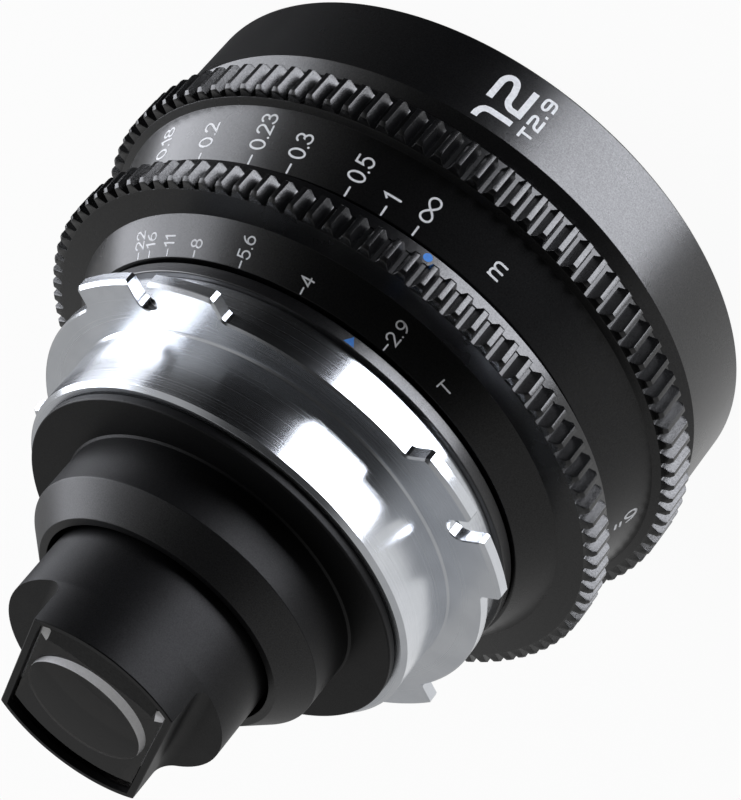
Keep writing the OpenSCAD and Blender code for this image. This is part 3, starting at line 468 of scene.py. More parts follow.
def makeToothedRing(name, s, body, node):
    e = ringEdges
    corners = [
        (s["bore"], s["low"], e["bore"]), (s["root"] - s["frontBevel"], s["low"], e["bore"]),
        (s["root"], s["low"] + s["frontBevel"], e["front"]), (s["root"], s["toothHigh"], e["crest"]),
        (s["scaleFront"], s["high"], e["scale"]), (s["scaleRear"], s["rear"], e["rear"]),
        (s["bore"], s["rear"], e["bore"]),
    ]
    addPiece(name + "_body", turnedMesh(name + "_body", corners), body, "ringBlack", [node])
    tooth = bpy.data.objects.new(name + "Tooth", toothMesh(name + "Tooth", s))
    scene.collection.objects.link(tooth)
    holder = bpy.data.objects.new(name + "Holder", bpy.data.meshes.new(name + "Holder"))
    row = holder.modifiers.new("teeth", "NODES")
    row.node_group = toothTree
    row[toothInputs["Tooth"]] = tooth
    row[toothInputs["Teeth"]] = s["teeth"]
    row[toothInputs["Phase"]] = math.radians(s["phase"])
    row[toothInputs["Finish"]] = finishes["toothBlack"]
    scene.collection.objects.link(holder)
    mesh = bakedMesh(holder, name + "_teeth")
    bpy.data.objects.remove(tooth)
    addPiece(name + "_teeth", mesh, body, "toothBlack")


makeToothedRing("focus_ring", focusSizes, "focus", "focus_ring")
makeToothedRing("iris_ring", irisSizes, "iris", "iris_ring")
print("toothed rings made")


# Collar, bright mount and black rear barrel
mountSizes = {
    "collarRadius": 31.2, "collarBore": 29.84, "collarLow": 39.1, "collarHigh": 40.8, "collarEdge": 0.15,
    "ringRadius": 30.4, "ringBore": 28.64, "ringHigh": 44.85, "edge": 0.1, "boreEdge": 0.05, "seamEdge": 0.02,
}
hubSizes = {
    "relief": 16.6, "face": 50.1, "plug": 25.16, "spigotEnd": 56.0, "groove": 25.37, "discRadius": 25.7,
    "discLow": 56.2, "discHigh": 57.3, "hubRadius": 20.1, "foot": 0.25, "taperLow": 64.3, "taperRadius": 16.8,
    "end": 67.9, "bore": 15.75, "lip": 1.7, "fineEdge": 0.05, "plugEdge": 0.1, "discEdge": 0.08,
    "shoulder": 0.2, "endEdge": 0.15, "taperSlope": 0.3,
}


def makeCollar(s):
    bore, radius, low, high = s["collarBore"], s["collarRadius"], s["collarLow"], s["collarHigh"]
    corners = [
        (bore, low, s["boreEdge"]), (radius, low, s["collarEdge"]),
        (radius, high, s["collarEdge"]), (bore, high, s["boreEdge"]),
    ]
    mesh = turnedMesh("index_collar_band", corners)
    addPiece("index_collar_band", mesh, "lens_body", "collarBlack", ["index_collar"])


def makeMount(s):
    corners = [
        (s["ringBore"], s["collarHigh"], s["boreEdge"]), (s["ringRadius"], s["collarHigh"], s["edge"]),
        (s["ringRadius"], s["ringHigh"], s["seamEdge"]), (s["ringBore"], s["ringHigh"], s["seamEdge"]),
    ]
    mesh = turnedMesh("mount_ring_band", corners)
    addPiece("mount_ring_band", mesh, "lens_body", "mountSilver", ["mount_ring"])


plateSizes = {
    "low": 44.85, "seat": 46.6, "ears": 4, "firstEar": 45, "earRadius": 34.4, "notchRadius": 31.4,
    "earHalf": 11.1, "earFillet": 1.0, "slotEnd": 30.1, "slotHalf": 1.6, "corner": 0.35, "earBevel": 0.42,
    "sideBevel": 0.26, "slotBevel": 0.12, "bore": 25.2, "spigotRadius": 27.0, "spigotEnd": 56.0,
    "spigotBevel": 0.55, "foot": 0.25, "overlap": 0.3, "sunk": 0.05, "footEdge": 0.1, "endEdge": 0.06,
    "boreEdge": 0.05, "tightest": 0.5, "smoothLimit": 20,
}


# One ear on +X, then the notch up to the next ear, as (x, y, width of the rear bevel)
def earOutline(s):
    half, fillet, notch, ear = s["earHalf"], s["earFillet"], s["notchRadius"], s["earRadius"]
    slotHalf, sideBevel, slotBevel = s["slotHalf"], s["sideBevel"], s["slotBevel"]
    centreX = math.sqrt((notch + fillet) ** 2 - (half + fillet) ** 2)
    footAngle = math.atan2(half + fillet, centreX)
    endX = math.sqrt(ear ** 2 - half ** 2)
    side = [(centreX + fillet * math.cos(a), half + fillet + fillet * math.sin(a), sideBevel)
            for a in steps(-math.pi / 2, footAngle - math.pi, 8)]
    tip = [(endX - s["corner"], half, sideBevel)]
    first, last = math.asin((half - s["corner"]) / ear), math.asin((slotHalf + s["corner"]) / ear)
    rim = [(ear * math.cos(a), ear * math.sin(a), s["earBevel"]) for a in steps(first, last, 24)]
    mouth = math.sqrt(ear ** 2 - slotHalf ** 2) - s["corner"]
    bottom = s["slotEnd"] + slotHalf
    slot = [(mouth, slotHalf, slotBevel)]
    slot += [(bottom - slotHalf * math.sin(a), slotHalf * math.cos(a), slotBevel)
             for a in steps(0, math.pi / 2, 8)]
    upper = side[::-1] + tip + rim + slot
    lower = [(x, -y, b) for x, y, b in upper[:-1]]
    between = steps(footAngle, math.pi / 2 - footAngle, 20)[1:-1]
    gap = [(notch * math.cos(a), notch * math.sin(a), sideBevel) for a in between]
    return lower + upper[::-1] + gap


def spigotCorners(s):
    outer, foot, bore, sunk = s["spigotRadius"], s["foot"], s["bore"], s["low"] + s["sunk"]
    end, bevel = s["spigotEnd"], s["spigotBevel"]
    return [
        (bore, sunk, 0), (outer + foot, sunk, 0), (outer + foot, s["seat"], 0),
        (outer, s["seat"] + foot, s["footEdge"]), (outer, end - bevel, s["endEdge"]),
        (outer - bevel, end, s["endEdge"]), (bore, end, s["boreEdge"]),
    ]


def plateMesh(name, s):
    outline = []
    for k in range(s["ears"]):
        turn = math.radians(s["firstEar"] + 360 / s["ears"] * k)
        cos, sin = math.cos(turn), math.sin(turn)
        outline += [(x * cos - y * sin, x * sin + y * cos, bevel) for x, y, bevel in earOutline(s)]
    count = len(outline)
    inset = []
    for k, (x, y, bevel) in enumerate(outline):
        nextX, nextY = outline[(k + 1) % count][:2]
        before = Vector((x - outline[k - 1][0], y - outline[k - 1][1])).normalized()
        after = Vector((nextX - x, nextY - y)).normalized()
        inward = (Vector((-before.y, before.x)) + Vector((-after.y, after.x))).normalized()
        inset.append(inward * bevel / max(s["tightest"], inward.dot(Vector((-after.y, after.x)))))
    shape = bmesh.new()

    def outlineRow(z, share, drop):
        places = [(x + shift.x * share, y + shift.y * share, z - bevel * drop)
                  for (x, y, bevel), shift in zip(outline, inset)]
        return [shape.verts.new(Vector(place) * mm) for place in places]

    def circleRow(z):
        radius = (s["bore"] + s["overlap"]) * mm
        angles = steps(0, 2 * math.pi, turnSegments)[:-1]
        return [shape.verts.new((radius * math.cos(a), radius * math.sin(a), z * mm)) for a in angles]

    def wall(a, b):
        for k in range(len(a)):
            n = (k + 1) % len(a)
            shape.faces.new((a[k], a[n], b[n], b[k]))

    def edgesOf(row):
        return [shape.edges.get((row[k], row[(k + 1) % len(row)])) for k in range(len(row))]

    low, high, top = outlineRow(s["low"], 0, 0), outlineRow(s["seat"], 0, 1), outlineRow(s["seat"], 1, 0)
    innerLow, innerTop = circleRow(s["low"]), circleRow(s["seat"])
    for a, b in ((low, high), (high, top), (innerTop, innerLow)):
        wall(a, b)
    bmesh.ops.triangle_fill(shape, use_beauty=True, edges=edgesOf(top) + edgesOf(innerTop))
    bmesh.ops.triangle_fill(shape, use_beauty=True, edges=edgesOf(low) + edgesOf(innerLow))
    bmesh.ops.recalc_face_normals(shape, faces=shape.faces)
    shape.from_mesh(turnedMesh(name + "Spigot", spigotCorners(s)))
    mesh = bpy.data.meshes.new(name)
    shape.to_mesh(mesh)
    shape.free()
    smooth(mesh, s["smoothLimit"])
    return mesh


def makePlate(s):
    mesh = plateMesh("mount_plate_edged", s)
    addPiece("mount_plate_edged", mesh, "lens_body", "mountSilver", ["mount_plate"])


def makeHub(s):
    fine, shoulder, lipLow = s["fineEdge"], s["shoulder"], s["end"] - s["lip"]
    corners = [
        (s["relief"], s["face"], fine), (s["plug"], s["face"], s["plugEdge"]), (s["plug"], s["spigotEnd"], 0),
        (s["groove"], s["spigotEnd"], 0), (s["groove"], s["discLow"], 0),
        (s["discRadius"], s["discLow"], s["discEdge"]), (s["discRadius"], s["discHigh"], shoulder),
        (s["hubRadius"] + s["foot"], s["discHigh"], fine), (s["hubRadius"], s["discHigh"] + s["foot"], fine),
        (s["hubRadius"], s["taperLow"], shoulder), (s["taperRadius"], s["end"], s["endEdge"]),
        (s["bore"], s["end"], s["plugEdge"]), (s["bore"], lipLow, 0), (s["relief"], lipLow, 0),
    ]
    mesh = turnedMesh("rear_barrel_hub", corners)
    addPiece("rear_barrel_hub", mesh, "lens_body", "hubBlack", ["rear_barrel"])
    mesh.materials.append(finishes["taperBlack"])
    for face in mesh.polygons:
        if face.center.z > s["taperLow"] * mm and face.normal.z > s["taperSlope"]:
            face.material_index = 1


tailSizes = {
    "radius": 15.1, "low": 39.2, "end": 82.3, "flat": 9.75, "flatLow": 76.3, "blend": 1.7, "edge": 0.12,
    "rim": 0.8, "flatWall": 0.88, "pocket": 75.7, "lightBore": 10.4, "seat": 61.5, "groupBore": 11.54,
    "smoothLimit": 12,
}
lipSizes = {
    "half": 7.4, "away": 9.7, "curl": 0.66, "low": 81.55, "high": 82.1, "sunk": 0.05, "smoothLimit": 24,
}
rearGlassSizes = {
    "radius": 14.26, "half": 8.83, "low": 75.8, "high": 81.5, "bevel": 0.22, "foot": 8.05, "rim": 8.0,
    "cut": 1.25, "cutTurn": -106, "cutFade": 1.2, "step": 0.62, "dome": 0.1, "corner": (7.5, -8.0),
    "edgeFrom": 8.25, "edgeEnd": 5.0, "rings": 6, "faceRings": 16, "ringTurn": 5.9, "smoothLimit": 8,
}


# One ring of points round a double-D outline. A ring without flats keeps the same spread
def doubleRow(radius, flat, height, flats=True, across=24, around=72):
    split = math.acos(flat / radius)
    row = []
    for side in (0, math.pi):
        for k in range(across):
            turn = math.atan(math.tan(split) * (2 * k / across - 1))
            reach = flat / math.cos(turn) if flats else radius
            row.append((reach * math.cos(side + turn), reach * math.sin(side + turn), height))
        for k in range(around):
            turn = side + split + (math.pi - 2 * split) * k / around
            row.append((radius * math.cos(turn), radius * math.sin(turn), height))
    return row


def rowMesh(name, rows, ends, limit):
    count = len(rows[0])
    verts = [tuple(value * mm for value in point) for row in rows for point in row]
    faces = []
    for i in range(len(rows) - 1 if ends else len(rows)):
        j = (i + 1) % len(rows)
        for k in range(count):
            n = (k + 1) % count
            faces.append((i * count + k, i * count + n, j * count + n, j * count + k))
    if ends:
        faces += [tuple(range(count))[::-1], tuple(range(len(verts) - count, len(verts)))]
    mesh = bpy.data.meshes.new(name)
    mesh.from_pydata(verts, [], faces)
    fixNormals(mesh)
    smooth(mesh, limit)
    return mesh


def makeTail(s):
    radius, flat, blend, edge, end = s["radius"], s["flat"], s["blend"], s["edge"], s["end"]
    rows = [doubleRow(radius, flat, s["low"], False), doubleRow(radius, flat + blend, s["flatLow"], False)]
    for turn in steps(0, math.pi / 2, 10):  # the flats run out in a curve
        height = s["flatLow"] + blend * (1 - math.cos(turn))
        rows.append(doubleRow(radius, flat + blend * (1 - math.sin(turn)), height))
    rows += [doubleRow(radius, flat, end - edge), doubleRow(radius - edge, flat - edge, end)]
    inner, innerFlat = radius - s["rim"], flat - s["flatWall"]
    rows += [doubleRow(inner, innerFlat, end), doubleRow(inner, innerFlat, s["pocket"])]
    for bore, heights in (("lightBore", ("pocket", "seat")), ("groupBore", ("seat", "low"))):
        rows += [doubleRow(s[bore], s[bore] * flat / radius, s[height], False) for height in heights]
    mesh = rowMesh("tail_tube_edged", rows, False, s["smoothLimit"])
    addPiece("tail_tube_edged", mesh, "rear_group", "tailBlack", ["tail_tube"])


# Black segment beside the rear glass
def makeTailLip(s, bore):
    half, reach = s["half"], bore + s["sunk"]
    lip = [(x, s["curl"] * (x / half) ** 4 - s["away"]) for x in steps(half, -half, 24)]
    span = math.asin(half / reach)
    lip += [(reach * math.sin(a), -reach * math.cos(a)) for a in steps(-span, span, 30)]
    rows = [[(x, y, height) for x, y in lip] for height in (s["low"], s["high"])]
    mesh = rowMesh("tail_lip", rows, True, s["smoothLimit"])
    addPiece("tail_lip", mesh, "rear_group", "insideBlack")


def makeRearGlass(s):
    radius, half, bevel, high, rings = s["radius"], s["half"], s["bevel"], s["high"], s["rings"]
    outline = doubleRow(radius - bevel, half - bevel, high)
    foot = doubleRow(s["foot"], s["foot"] * half / radius, high, False)
    rows = [doubleRow(radius, half, s["low"]), doubleRow(radius, half, high - bevel)]
    for share in steps(0, 1, rings):
        rows.append([tuple(Vector(outer).lerp(Vector(inner), share)) for outer, inner in zip(outline, foot)])
    rim = []
    for x, y, height in foot:  # the ground cut is wide on one side only
        turn = math.atan2(y, x)
        facing = max(0.0, math.cos(turn - math.radians(s["cutTurn"])))
        reach = s["rim"] - s["cut"] * facing ** s["cutFade"]
        rim.append((reach * math.cos(turn), reach * math.sin(turn)))
    for k in range(s["faceRings"]):  # polished face
        share = math.cos(math.radians(s["ringTurn"] * k))
        height = high + s["step"] + s["dome"] * (1 - share ** 2)
        rows.append([(x * share, y * share, height) for x, y in rim])
    mesh = rowMesh("rear_element_domed", rows, True, s["smoothLimit"])
    # its nearly black tint is painted shade for the dark inside of the lens
    addPiece("rear_element_domed", mesh, "rear_group", "rearGlassShaded", ["rear_element"])
    # the ground faces get a pale tone that is partly painted light for light passing through the glass
    mesh.materials.append(finishes["groundGlassAndPaintedLight"])
    for face in mesh.polygons:  # the cut, two corners and the edges of the flats are ground
        row = face.index // len(foot)
        across, along = abs(face.center.x) / mm, face.center.y / mm
        edge = row == 1 and across > s["edgeFrom"] and along < s["edgeEnd"]
        corner = 2 <= row < rings + 2 and across > s["corner"][0] and along < s["corner"][1]
        if row == rings + 2 or edge or corner:
            face.material_index = 1


makeCollar(mountSizes)
makeMount(mountSizes)
makePlate(plateSizes)
makeHub(hubSizes)
makeTail(tailSizes)
makeTailLip(lipSizes, tailSizes["radius"] - tailSizes["rim"])
makeRearGlass(rearGlassSizes)
print("mount, hub and tail made")


# Engraved marks: each stroke is a thin closed ribbon bent onto the surface
def arc(cx, cy, rx, ry, start, end, count=14):
    angles = steps(math.radians(start), math.radians(end), count)
    return [(cx + rx * math.cos(a), cy + ry * math.sin(a)) for a in angles]


def ring(cx, cy, rx, ry, count=26):
    return arc(cx, cy, rx, ry, 0, 360, count)[:-1]


def loopSign(width, height, count=44):
    angles = steps(0, 2 * math.pi, count)[:-1]
    return [(width * (0.5 + 0.5 * math.cos(a) / (1 + math.sin(a) ** 2)),
             0.5 + height * math.sin(a) * math.cos(a) / (1 + math.sin(a) ** 2)) for a in angles]


# Each figure is its width and its strokes, for a height of 1
six = [(ring(0.27, 0.30, 0.26, 0.30), True), (arc(0.56, 0.30, 0.55, 0.70, 180, 106), False)]
fiveTop = [(0.50, 1.0), (0.10, 1.0), (0.06, 0.55)]
emArches = [(arc(x, 0.42, 0.215, 0.25, 180, 0) + [(x + 0.215, 0.0)], False) for x in (0.215, 0.645)]
wideOne = [(-0.06, 1.0), (0.04, 1.0), (0.13, 0.95), (0.19, 0.86), (0.21, 0.72), (0.21, 0.0)]
wideTwo = [(0.0, 1.0), (0.40, 1.0)] + arc(0.42, 0.77, 0.19, 0.23, 80, -80) + [(0.34, 0.50)]
wideTwo += arc(0.20, 0.24, 0.19, 0.25, 90, 180) + [(0.01, 0.0), (0.62, 0.0)]
wideNine = [(0.10, 0.0)] + arc(0.40, 0.24, 0.21, 0.24, -90, 0) + arc(0.40, 0.76, 0.21, 0.24, 0, 90)
wideNine += arc(0.22, 0.74, 0.21, 0.26, 90, 270) + [(0.60, 0.48)]
glyphs = {
    "0": (0.56, [(ring(0.28, 0.5, 0.27, 0.5), True)]),
    "1": (0.30, [([(0.02, 0.78), (0.22, 1.0), (0.22, 0.0)], False)]),
    "2": (0.54, [(arc(0.27, 0.73, 0.25, 0.27, 172, -38) + [(0.03, 0.0), (0.53, 0.0)], False)]),
    "3": (0.54, [(arc(0.25, 0.76, 0.22, 0.24, 155, -86) + arc(0.25, 0.265, 0.27, 0.265, 86, -155), False)]),
    "4": (0.56, [([(0.41, 0.0), (0.41, 1.0), (0.01, 0.28), (0.55, 0.28)], False)]),
    "5": (0.54, [(fiveTop + arc(0.26, 0.325, 0.27, 0.325, 128, -150), False)]),
    "6": (0.54, six),
    "8": (0.54, [(ring(0.27, 0.755, 0.22, 0.245), True), (ring(0.27, 0.265, 0.27, 0.265), True)]),
    "9": (0.54, [([(0.54 - x, 1 - y) for x, y in points], closed) for points, closed in six]),
    ".": (0.10, [([(0.05, 0.0), (0.05, 0.03)], False)]),
    "m": (0.86, [([(0.0, 0.0), (0.0, 0.68)], False)] + emArches),
    "T": (0.60, [([(0.0, 1.0), (0.60, 1.0)], False), ([(0.30, 1.0), (0.30, 0.0)], False)]),
    "8side": (1.45, [(loopSign(1.45, 0.95), True)]),
    "wide1": (0.30, [(wideOne, False)]),
    "wideDot": (0.13, [([(0.065, -0.02), (0.065, 0.22)], False)]),
    "wide2": (0.62, [(wideTwo, False)]),
    "wide9": (0.62, [(wideNine, False)]),
    "inchTurned": (0.29, [([(0.03, 0.02), (0.03, 0.42)], False), ([(0.26, 0.02), (0.26, 0.42)], False)]),
}


markSizes = {"rise": 0.012, "sink": 0.05, "step": 0.3, "tightest": 0.45}


def ribbon(points, closed, half, verts, faces, place, square=False):
    rise, sink = markSizes["rise"], markSizes["sink"]
    ends = points[1:] + points[:1] if closed else points[1:]
    path = [] if closed else [Vector(points[-1])]
    for start, end in reversed(list(zip(points, ends))):  # short steps follow the curve of the surface
        first, span = Vector(start), Vector(end) - Vector(start)
        count = max(1, math.ceil(span.length / markSizes["step"]))
        path += [first + span * k / count for k in reversed(range(count))]
    path.reverse()
    count = len(path)
    sections = []
    for i, here in enumerate(path):
        before = here - path[i - 1] if closed or i else path[1] - here
        after = path[(i + 1) % count] - here if closed or i < count - 1 else before
        a, b = before.normalized(), after.normalized()
        middle = (a + b).normalized() if (a + b).length > 1e-6 else a
        side = Vector((-middle.y, middle.x))
        grow = 1 / max(markSizes["tightest"], side.dot(Vector((-a.y, a.x))))
        sections.append((here, side * half * grow, middle))
    if not closed and not square:
        caps = [(math.sin(t), math.cos(t)) for t in (math.pi * k / 8 for k in (1, 2, 3))]
        here, side, middle = sections[0]
        front = [(here - middle * half * s, side * c, middle) for s, c in reversed(caps)]
        here, side, middle = sections[-1]
        back = [(here + middle * half * s, side * c, middle) for s, c in caps]
        sections = front + sections + back
    base = len(verts)
    for here, side, middle in sections:
        left, right = here + side, here - side
        verts += [place(left, rise), place(right, rise), place(right, -sink), place(left, -sink)]
    rows = len(sections)
    for i in range(rows if closed else rows - 1):
        a, b = base + 4 * i, base + 4 * ((i + 1) % rows)
        for k in range(4):
            faces.append((a + k, b + k, b + (k + 1) % 4, a + (k + 1) % 4))
    if not closed:
        faces.append((base, base + 1, base + 2, base + 3))
        last = base + 4 * (rows - 1)
        faces.append((last + 3, last + 2, last + 1, last))


def textStrokes(text, height, gap, stretch):
    strokes, along = [], 0.0
    for letter in text:
        width, parts = glyphs[letter]
        for points, closed in parts:
            strokes.append(([(along + x * height * stretch, y * height) for x, y in points], closed))
        along += width * height * stretch + gap
    return strokes


def onCone(s, angle):
    # along runs from the rear edge to the front, across runs round the ring
    drop, rise = s["rear"] - s["front"], s["frontRadius"] - s["rearRadius"]
    slant = math.hypot(drop, rise)
    outR, outZ = drop / slant, rise / slant

    def place(point, lift):
        share = point[0] / slant
        radius = s["rearRadius"] + rise * share
        turn = math.radians(angle) + point[1] / radius
        radius += lift * outR
        height = s["rear"] - drop * share + lift * outZ
        return (radius * mm * math.sin(turn), -radius * mm * math.cos(turn), height * mm)
    return place


def engrave(name, marks, surface, style, body):
    verts, faces = [], []
    half, square = style["stroke"] / 2, "square" in style
    for angle, text, tick in marks:
        place = onCone(surface, angle)
        if tick:
            line = [(style["tickStart"], 0.0), (style["tickStart"] + style["tick"], 0.0)]
            ribbon(line, False, half, verts, faces, place)
        for points, closed in textStrokes(text, style["height"], style["gap"], style["stretch"]):
            moved = [(x + style["textStart"], y - style["height"] / 2) for x, y in points]
            ribbon(moved, closed, half, verts, faces, place, square)
    mesh = bpy.data.meshes.new(name)
    mesh.from_pydata([Vector(v) for v in verts], [], faces)
    fixNormals(mesh)
    addPiece(name, mesh, body, "markWhite")


# The tapered band of a ring
def scaleSurface(s):
    places = {"rear": "rear", "front": "high", "rearRadius": "scaleRear", "frontRadius": "scaleFront"}
    return {place: s[size] for place, size in places.items()}


focusStyle = {
    "height": 2.15, "stretch": 1.0, "stroke": 0.27, "gap": 0.34, "tickStart": 0.2, "tick": 1.15,
    "textStart": 2.3,
}
focusMarks = [
    (2.8, ["8side"], True), (9.7, "1", True), (17.5, "0.5", True), (30.3, "0.3", True), (39.3, "0.23", True),
    (52.5, "0.2", True), (66.5, "0.18", True), (-12.5, "m", False),
]
# The inch scale reads from front to rear, so its 6 is a turned 9
inchStyle = {
    "height": 2.1, "stretch": 1.6, "stroke": 0.36, "gap": 0.5, "tickStart": 0.2, "tick": 1.15,
    "textStart": 2.61,
}
inchMarks = [(-77.1, ["inchTurned", "9"], True)]
irisStyle = {
    "height": 1.6, "stretch": 1.1, "stroke": 0.21, "gap": 0.32, "tickStart": 0.2, "tick": 0.75,
    "textStart": 1.35,
}
irisMarks = [
    (-6.45, "2.9", True), (14.6, "4", True), (30.0, "5.6", True), (42.5, "8", True), (50.5, "11", True),
    (56.5, "16", True), (60.5, "22", True), (-21.0, "T", False),
]
barrelSurface = {
    "rear": barrelSizes["length"], "front": 0.0, "rearRadius": barrelSizes["radius"],
    "frontRadius": barrelSizes["radius"],
}
bigStyle = {"height": 4.2, "stretch": 1.6, "stroke": 0.85, "gap": 1.0, "square": True, "textStart": 2.7}
bigMarks = [(4.1, ["wide1", "wide2"], False)]
smallStyle = {"height": 1.5, "stretch": 1.85, "stroke": 0.36, "gap": 0.5, "square": True, "textStart": 3.3}
smallMarks = [(-1.95, ["T", "wide2", "wideDot", "wide9"], False)]
engrave("focus_marks", focusMarks, scaleSurface(focusSizes), focusStyle, "focus")
engrave("inch_marks", inchMarks, scaleSurface(focusSizes), inchStyle, "focus")
engrave("iris_marks", irisMarks, scaleSurface(irisSizes), irisStyle, "iris")
engrave("barrel_length_mark", bigMarks, barrelSurface, bigStyle, "lens_body")
engrave("barrel_stop_mark", smallMarks, barrelSurface, smallStyle, "lens_body")


# Blue index marks: a dot on the strip and a triangle on the collar
indexSizes = {
    "dotRadius": 0.58, "dotAngle": -2.2, "dotHeight": 29.1, "dotSurface": 38.0,
    "triangleHalf": 0.73, "triangleBase": 40.5, "triangleTip": 39.3, "triangleSurface": 31.2,
    "rise": 0.015, "sink": 0.05,
}


def indexPiece(name, outline, radius, s):
    verts, faces = [], []
    for lift in (s["rise"], -s["sink"]):
        for across, height in outline:
            turn = across / radius
            r = (radius + lift) * mm
            verts.append((r * math.sin(turn), -r * math.cos(turn), height * mm))
    count = len(outline)
    faces.append(tuple(range(count)))
    faces.append(tuple(range(2 * count - 1, count - 1, -1)))
    for k in range(count):
        n = (k + 1) % count
        faces.append((k, n, count + n, count + k))
    mesh = bpy.data.meshes.new(name)
    mesh.from_pydata(verts, [], faces)
    fixNormals(mesh)
    addPiece(name, mesh, "lens_body", "markBlue")


def makeIndexMarks(s):
    middle = math.radians(s["dotAngle"]) * s["dotSurface"]
    dot = [(middle + x, s["dotHeight"] + y) for x, y in ring(0, 0, s["dotRadius"], s["dotRadius"], 32)]
    indexPiece("focus_index_dot", dot, s["dotSurface"], s)
    half, base = s["triangleHalf"], s["triangleBase"]
    triangle = [(-half, base), (half, base), (0.0, s["triangleTip"])]
    indexPiece("iris_index_triangle", triangle, s["triangleSurface"], s)


makeIndexMarks(indexSizes)
print("marks made")


# Finishes of the solids that stay as they are
solidFinishes = {"main_barrel": "stripBlack"}
insideNodes = (
    "front_bezel", "front_cell", "cell_lock_ring", "mid_cell", "iris_base", "group_lock_ring",
    "spacer_a", "spacer_b",
)
for node in insideNodes:
    solidFinishes[node] = "insideBlack"
for node in ("focus_sleeve", "carrier"):
    solidFinishes[node] = "sleeveBronze"
for node in ("guide_pins", "focus_keys", "iris_drive_pin", "iris_actuator"):
    solidFinishes[node] = "pinSteel"
for number in range(1, 8):
    solidFinishes["element_%d" % number] = "frontGlass"
    solidFinishes["iris_blade_%d" % number] = "bladeSteel"
for node, finish in solidFinishes.items():
    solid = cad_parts[node]
    solid.data.materials.clear()
    solid.data.materials.append(finishes[finish])
print("solids finished")


# Camera, floor and light
cameraSizes = {
    "place": (-0.04007, -0.36610, 0.25103), "right": (-0.80323, -0.25098, -0.54022),
    "up": (0.58939, -0.46624, -0.65972), "back": (-0.08630, -0.84831, 0.52243), "lens": 157.5,
    "sensor": 36.0, "near": 0.01, "far": 10,
}
floorSizes = {
    "radius": 0.6, "thickness": 0.002, "drop": 0.0002, "segments": 160, "tone": (0.85, 0.85, 0.85),
    "rough": 0.8, "shade": 0.05,
}
lampSizes = {
    "keySoftbox": {
        "direction": (-0.405, -0.724, -0.559), "distance": 0.60, "width": 0.53, "height": 0.28, "power": 4.2,
    },
    "sideSoftbox": {
        "direction": (0.976, 0.207, 0.060), "distance": 0.50, "width": 0.44, "height": 0.52, "power": 3.3,
    },
}
lampColour = (0.91, 0.93, 1.0)
target = Vector((0, 0, 0.035))


def makeCamera(s):
    data = bpy.data.cameras.new("camera")
    data.sensor_fit = "VERTICAL"
    data.sensor_height = s["sensor"]
    data.lens = s["lens"]
    data.clip_start, data.clip_end = s["near"], s["far"]
    camera = bpy.data.objects.new("camera", data)
    scene.collection.objects.link(camera)
    turn = Matrix((s["right"], s["up"], s["back"])).transposed()
    camera.matrix_world = Matrix.Translation(s["place"]) @ turn.to_4x4()
    scene.camera = camera


def makeFloor(s):
    shape = bmesh.new()
    bmesh.ops.create_cone(shape, cap_ends=True, segments=s["segments"], radius1=s["radius"],
                          radius2=s["radius"], depth=s["thickness"])
    bmesh.ops.translate(shape, verts=shape.verts, vec=(0, 0, -s["thickness"] / 2 - s["drop"]))
    mesh = bpy.data.meshes.new("floor")
    shape.to_mesh(mesh)
    shape.free()
    finish, tree, shader = newFinish("floorPale")
    shader.inputs["Base Color"].default_value = (*s["tone"], 1)
    shader.inputs["Roughness"].default_value = s["rough"]
    glow = addNode(tree, "ShaderNodeEmission")
    path = addNode(tree, "ShaderNodeLightPath")
    keep = addNode(tree, "ShaderNodeMath", operation="MULTIPLY")
    keep.inputs[1].default_value = 1 - s["shade"]
    both = addNode(tree, "ShaderNodeMixShader")
    tree.links.new(path.outputs["Is Camera Ray"], keep.inputs[0])
    tree.links.new(keep.outputs["Value"], both.inputs["Fac"])
    tree.links.new(shader.outputs["BSDF"], both.inputs[1])
    tree.links.new(glow.outputs["Emission"], both.inputs[2])
    tree.links.new(both.outputs["Shader"], tree.nodes["Material Output"].inputs["Surface"])
    floor = bpy.data.objects.new("floor", mesh)
    mesh.materials.append(finish)
    scene.collection.objects.link(floor)
    # the key lamp stands lower than the floor
    floor.visible_glossy = False
    floor.visible_shadow = False


def makeLamp(name, s):
    data = bpy.data.lights.new(name, "AREA")
    data.shape = "RECTANGLE"
    data.size, data.size_y = s["width"], s["height"]
    data.energy = s["power"]
    data.color = lampColour
    lamp = bpy.data.objects.new(name, data)
    scene.collection.objects.link(lamp)
    direction = Vector(s["direction"]).normalized()
    lamp.location = target + direction * s["distance"]
    lamp.rotation_euler = direction.to_track_quat("Z", "Y").to_euler()
    lamp.visible_camera = False


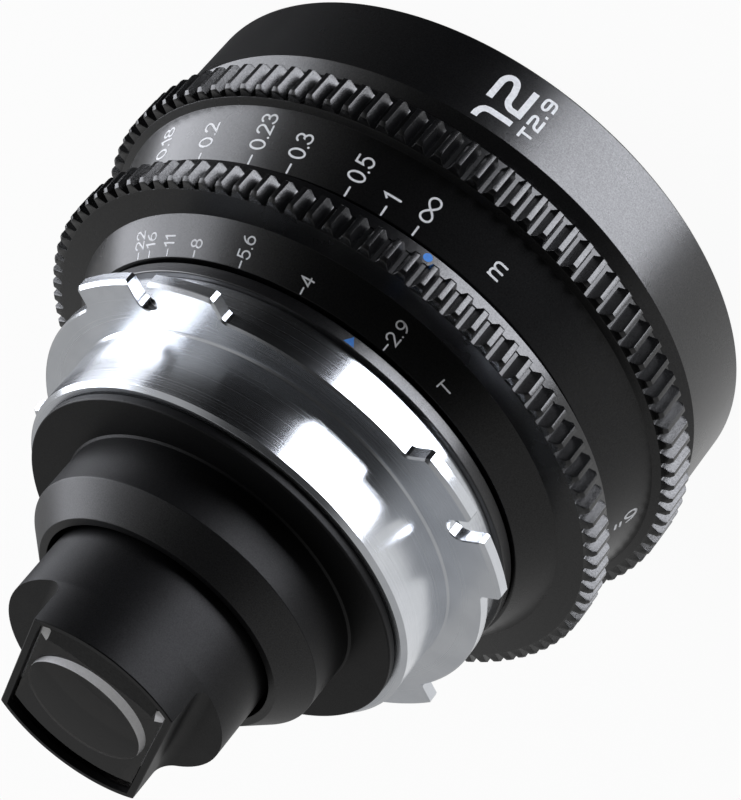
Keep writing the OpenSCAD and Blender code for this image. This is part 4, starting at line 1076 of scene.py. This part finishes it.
# White behind the part, a dark studio on the camera's side: two levels and where the fade between them runs
roomSizes = {"depth": (0.03, 0.40, -0.72, -0.35), "side": (2.0, 0.1, -0.3, 0.3), "low": (1, 0, -0.45, -0.2)}


def makeWorld(s):
    world = bpy.data.worlds.new("studio")
    scene.world = world
    world.use_nodes = True
    tree = world.node_tree
    back = tree.nodes["Background"]
    path = addNode(tree, "ShaderNodeLightPath")
    coords = addNode(tree, "ShaderNodeTexCoord")
    flat = addNode(tree, "ShaderNodeVectorMath", operation="MULTIPLY")
    flat.inputs[1].default_value = (1, 1, 0)
    unit = addNode(tree, "ShaderNodeVectorMath", operation="NORMALIZE")
    split = addNode(tree, "ShaderNodeSeparateXYZ")
    tree.links.new(coords.outputs["Generated"], flat.inputs[0])
    tree.links.new(flat.outputs["Vector"], unit.inputs[0])
    tree.links.new(unit.outputs["Vector"], split.inputs["Vector"])
    height = addNode(tree, "ShaderNodeSeparateXYZ")
    tree.links.new(coords.outputs["Generated"], height.inputs["Vector"])
    level = spread(tree, split.outputs["Y"], *s["depth"])
    side = spread(tree, split.outputs["X"], *s["side"])
    low = addNode(tree, "ShaderNodeMix", data_type="FLOAT")
    low.inputs["A"].default_value = 1.0
    tree.links.new(spread(tree, height.outputs["Z"], *s["low"]), low.inputs["Factor"])
    tree.links.new(side, low.inputs["B"])
    room = addNode(tree, "ShaderNodeMath", operation="MULTIPLY")
    tree.links.new(level, room.inputs[0])
    tree.links.new(low.outputs["Result"], room.inputs[1])
    seen = addNode(tree, "ShaderNodeMath", operation="MAXIMUM")
    tree.links.new(path.outputs["Is Camera Ray"], seen.inputs[0])
    tree.links.new(path.outputs["Is Transmission Ray"], seen.inputs[1])
    top = addNode(tree, "ShaderNodeMath", operation="MAXIMUM")
    tree.links.new(seen.outputs["Value"], top.inputs[0])
    tree.links.new(room.outputs["Value"], top.inputs[1])
    tree.links.new(top.outputs["Value"], back.inputs["Strength"])
    back.inputs["Color"].default_value = (1, 1, 1, 1)


makeCamera(cameraSizes)
makeFloor(floorSizes)
for lampName, sizes in lampSizes.items():
    makeLamp(lampName, sizes)
makeWorld(roomSizes)
print("camera, floor and light ready")
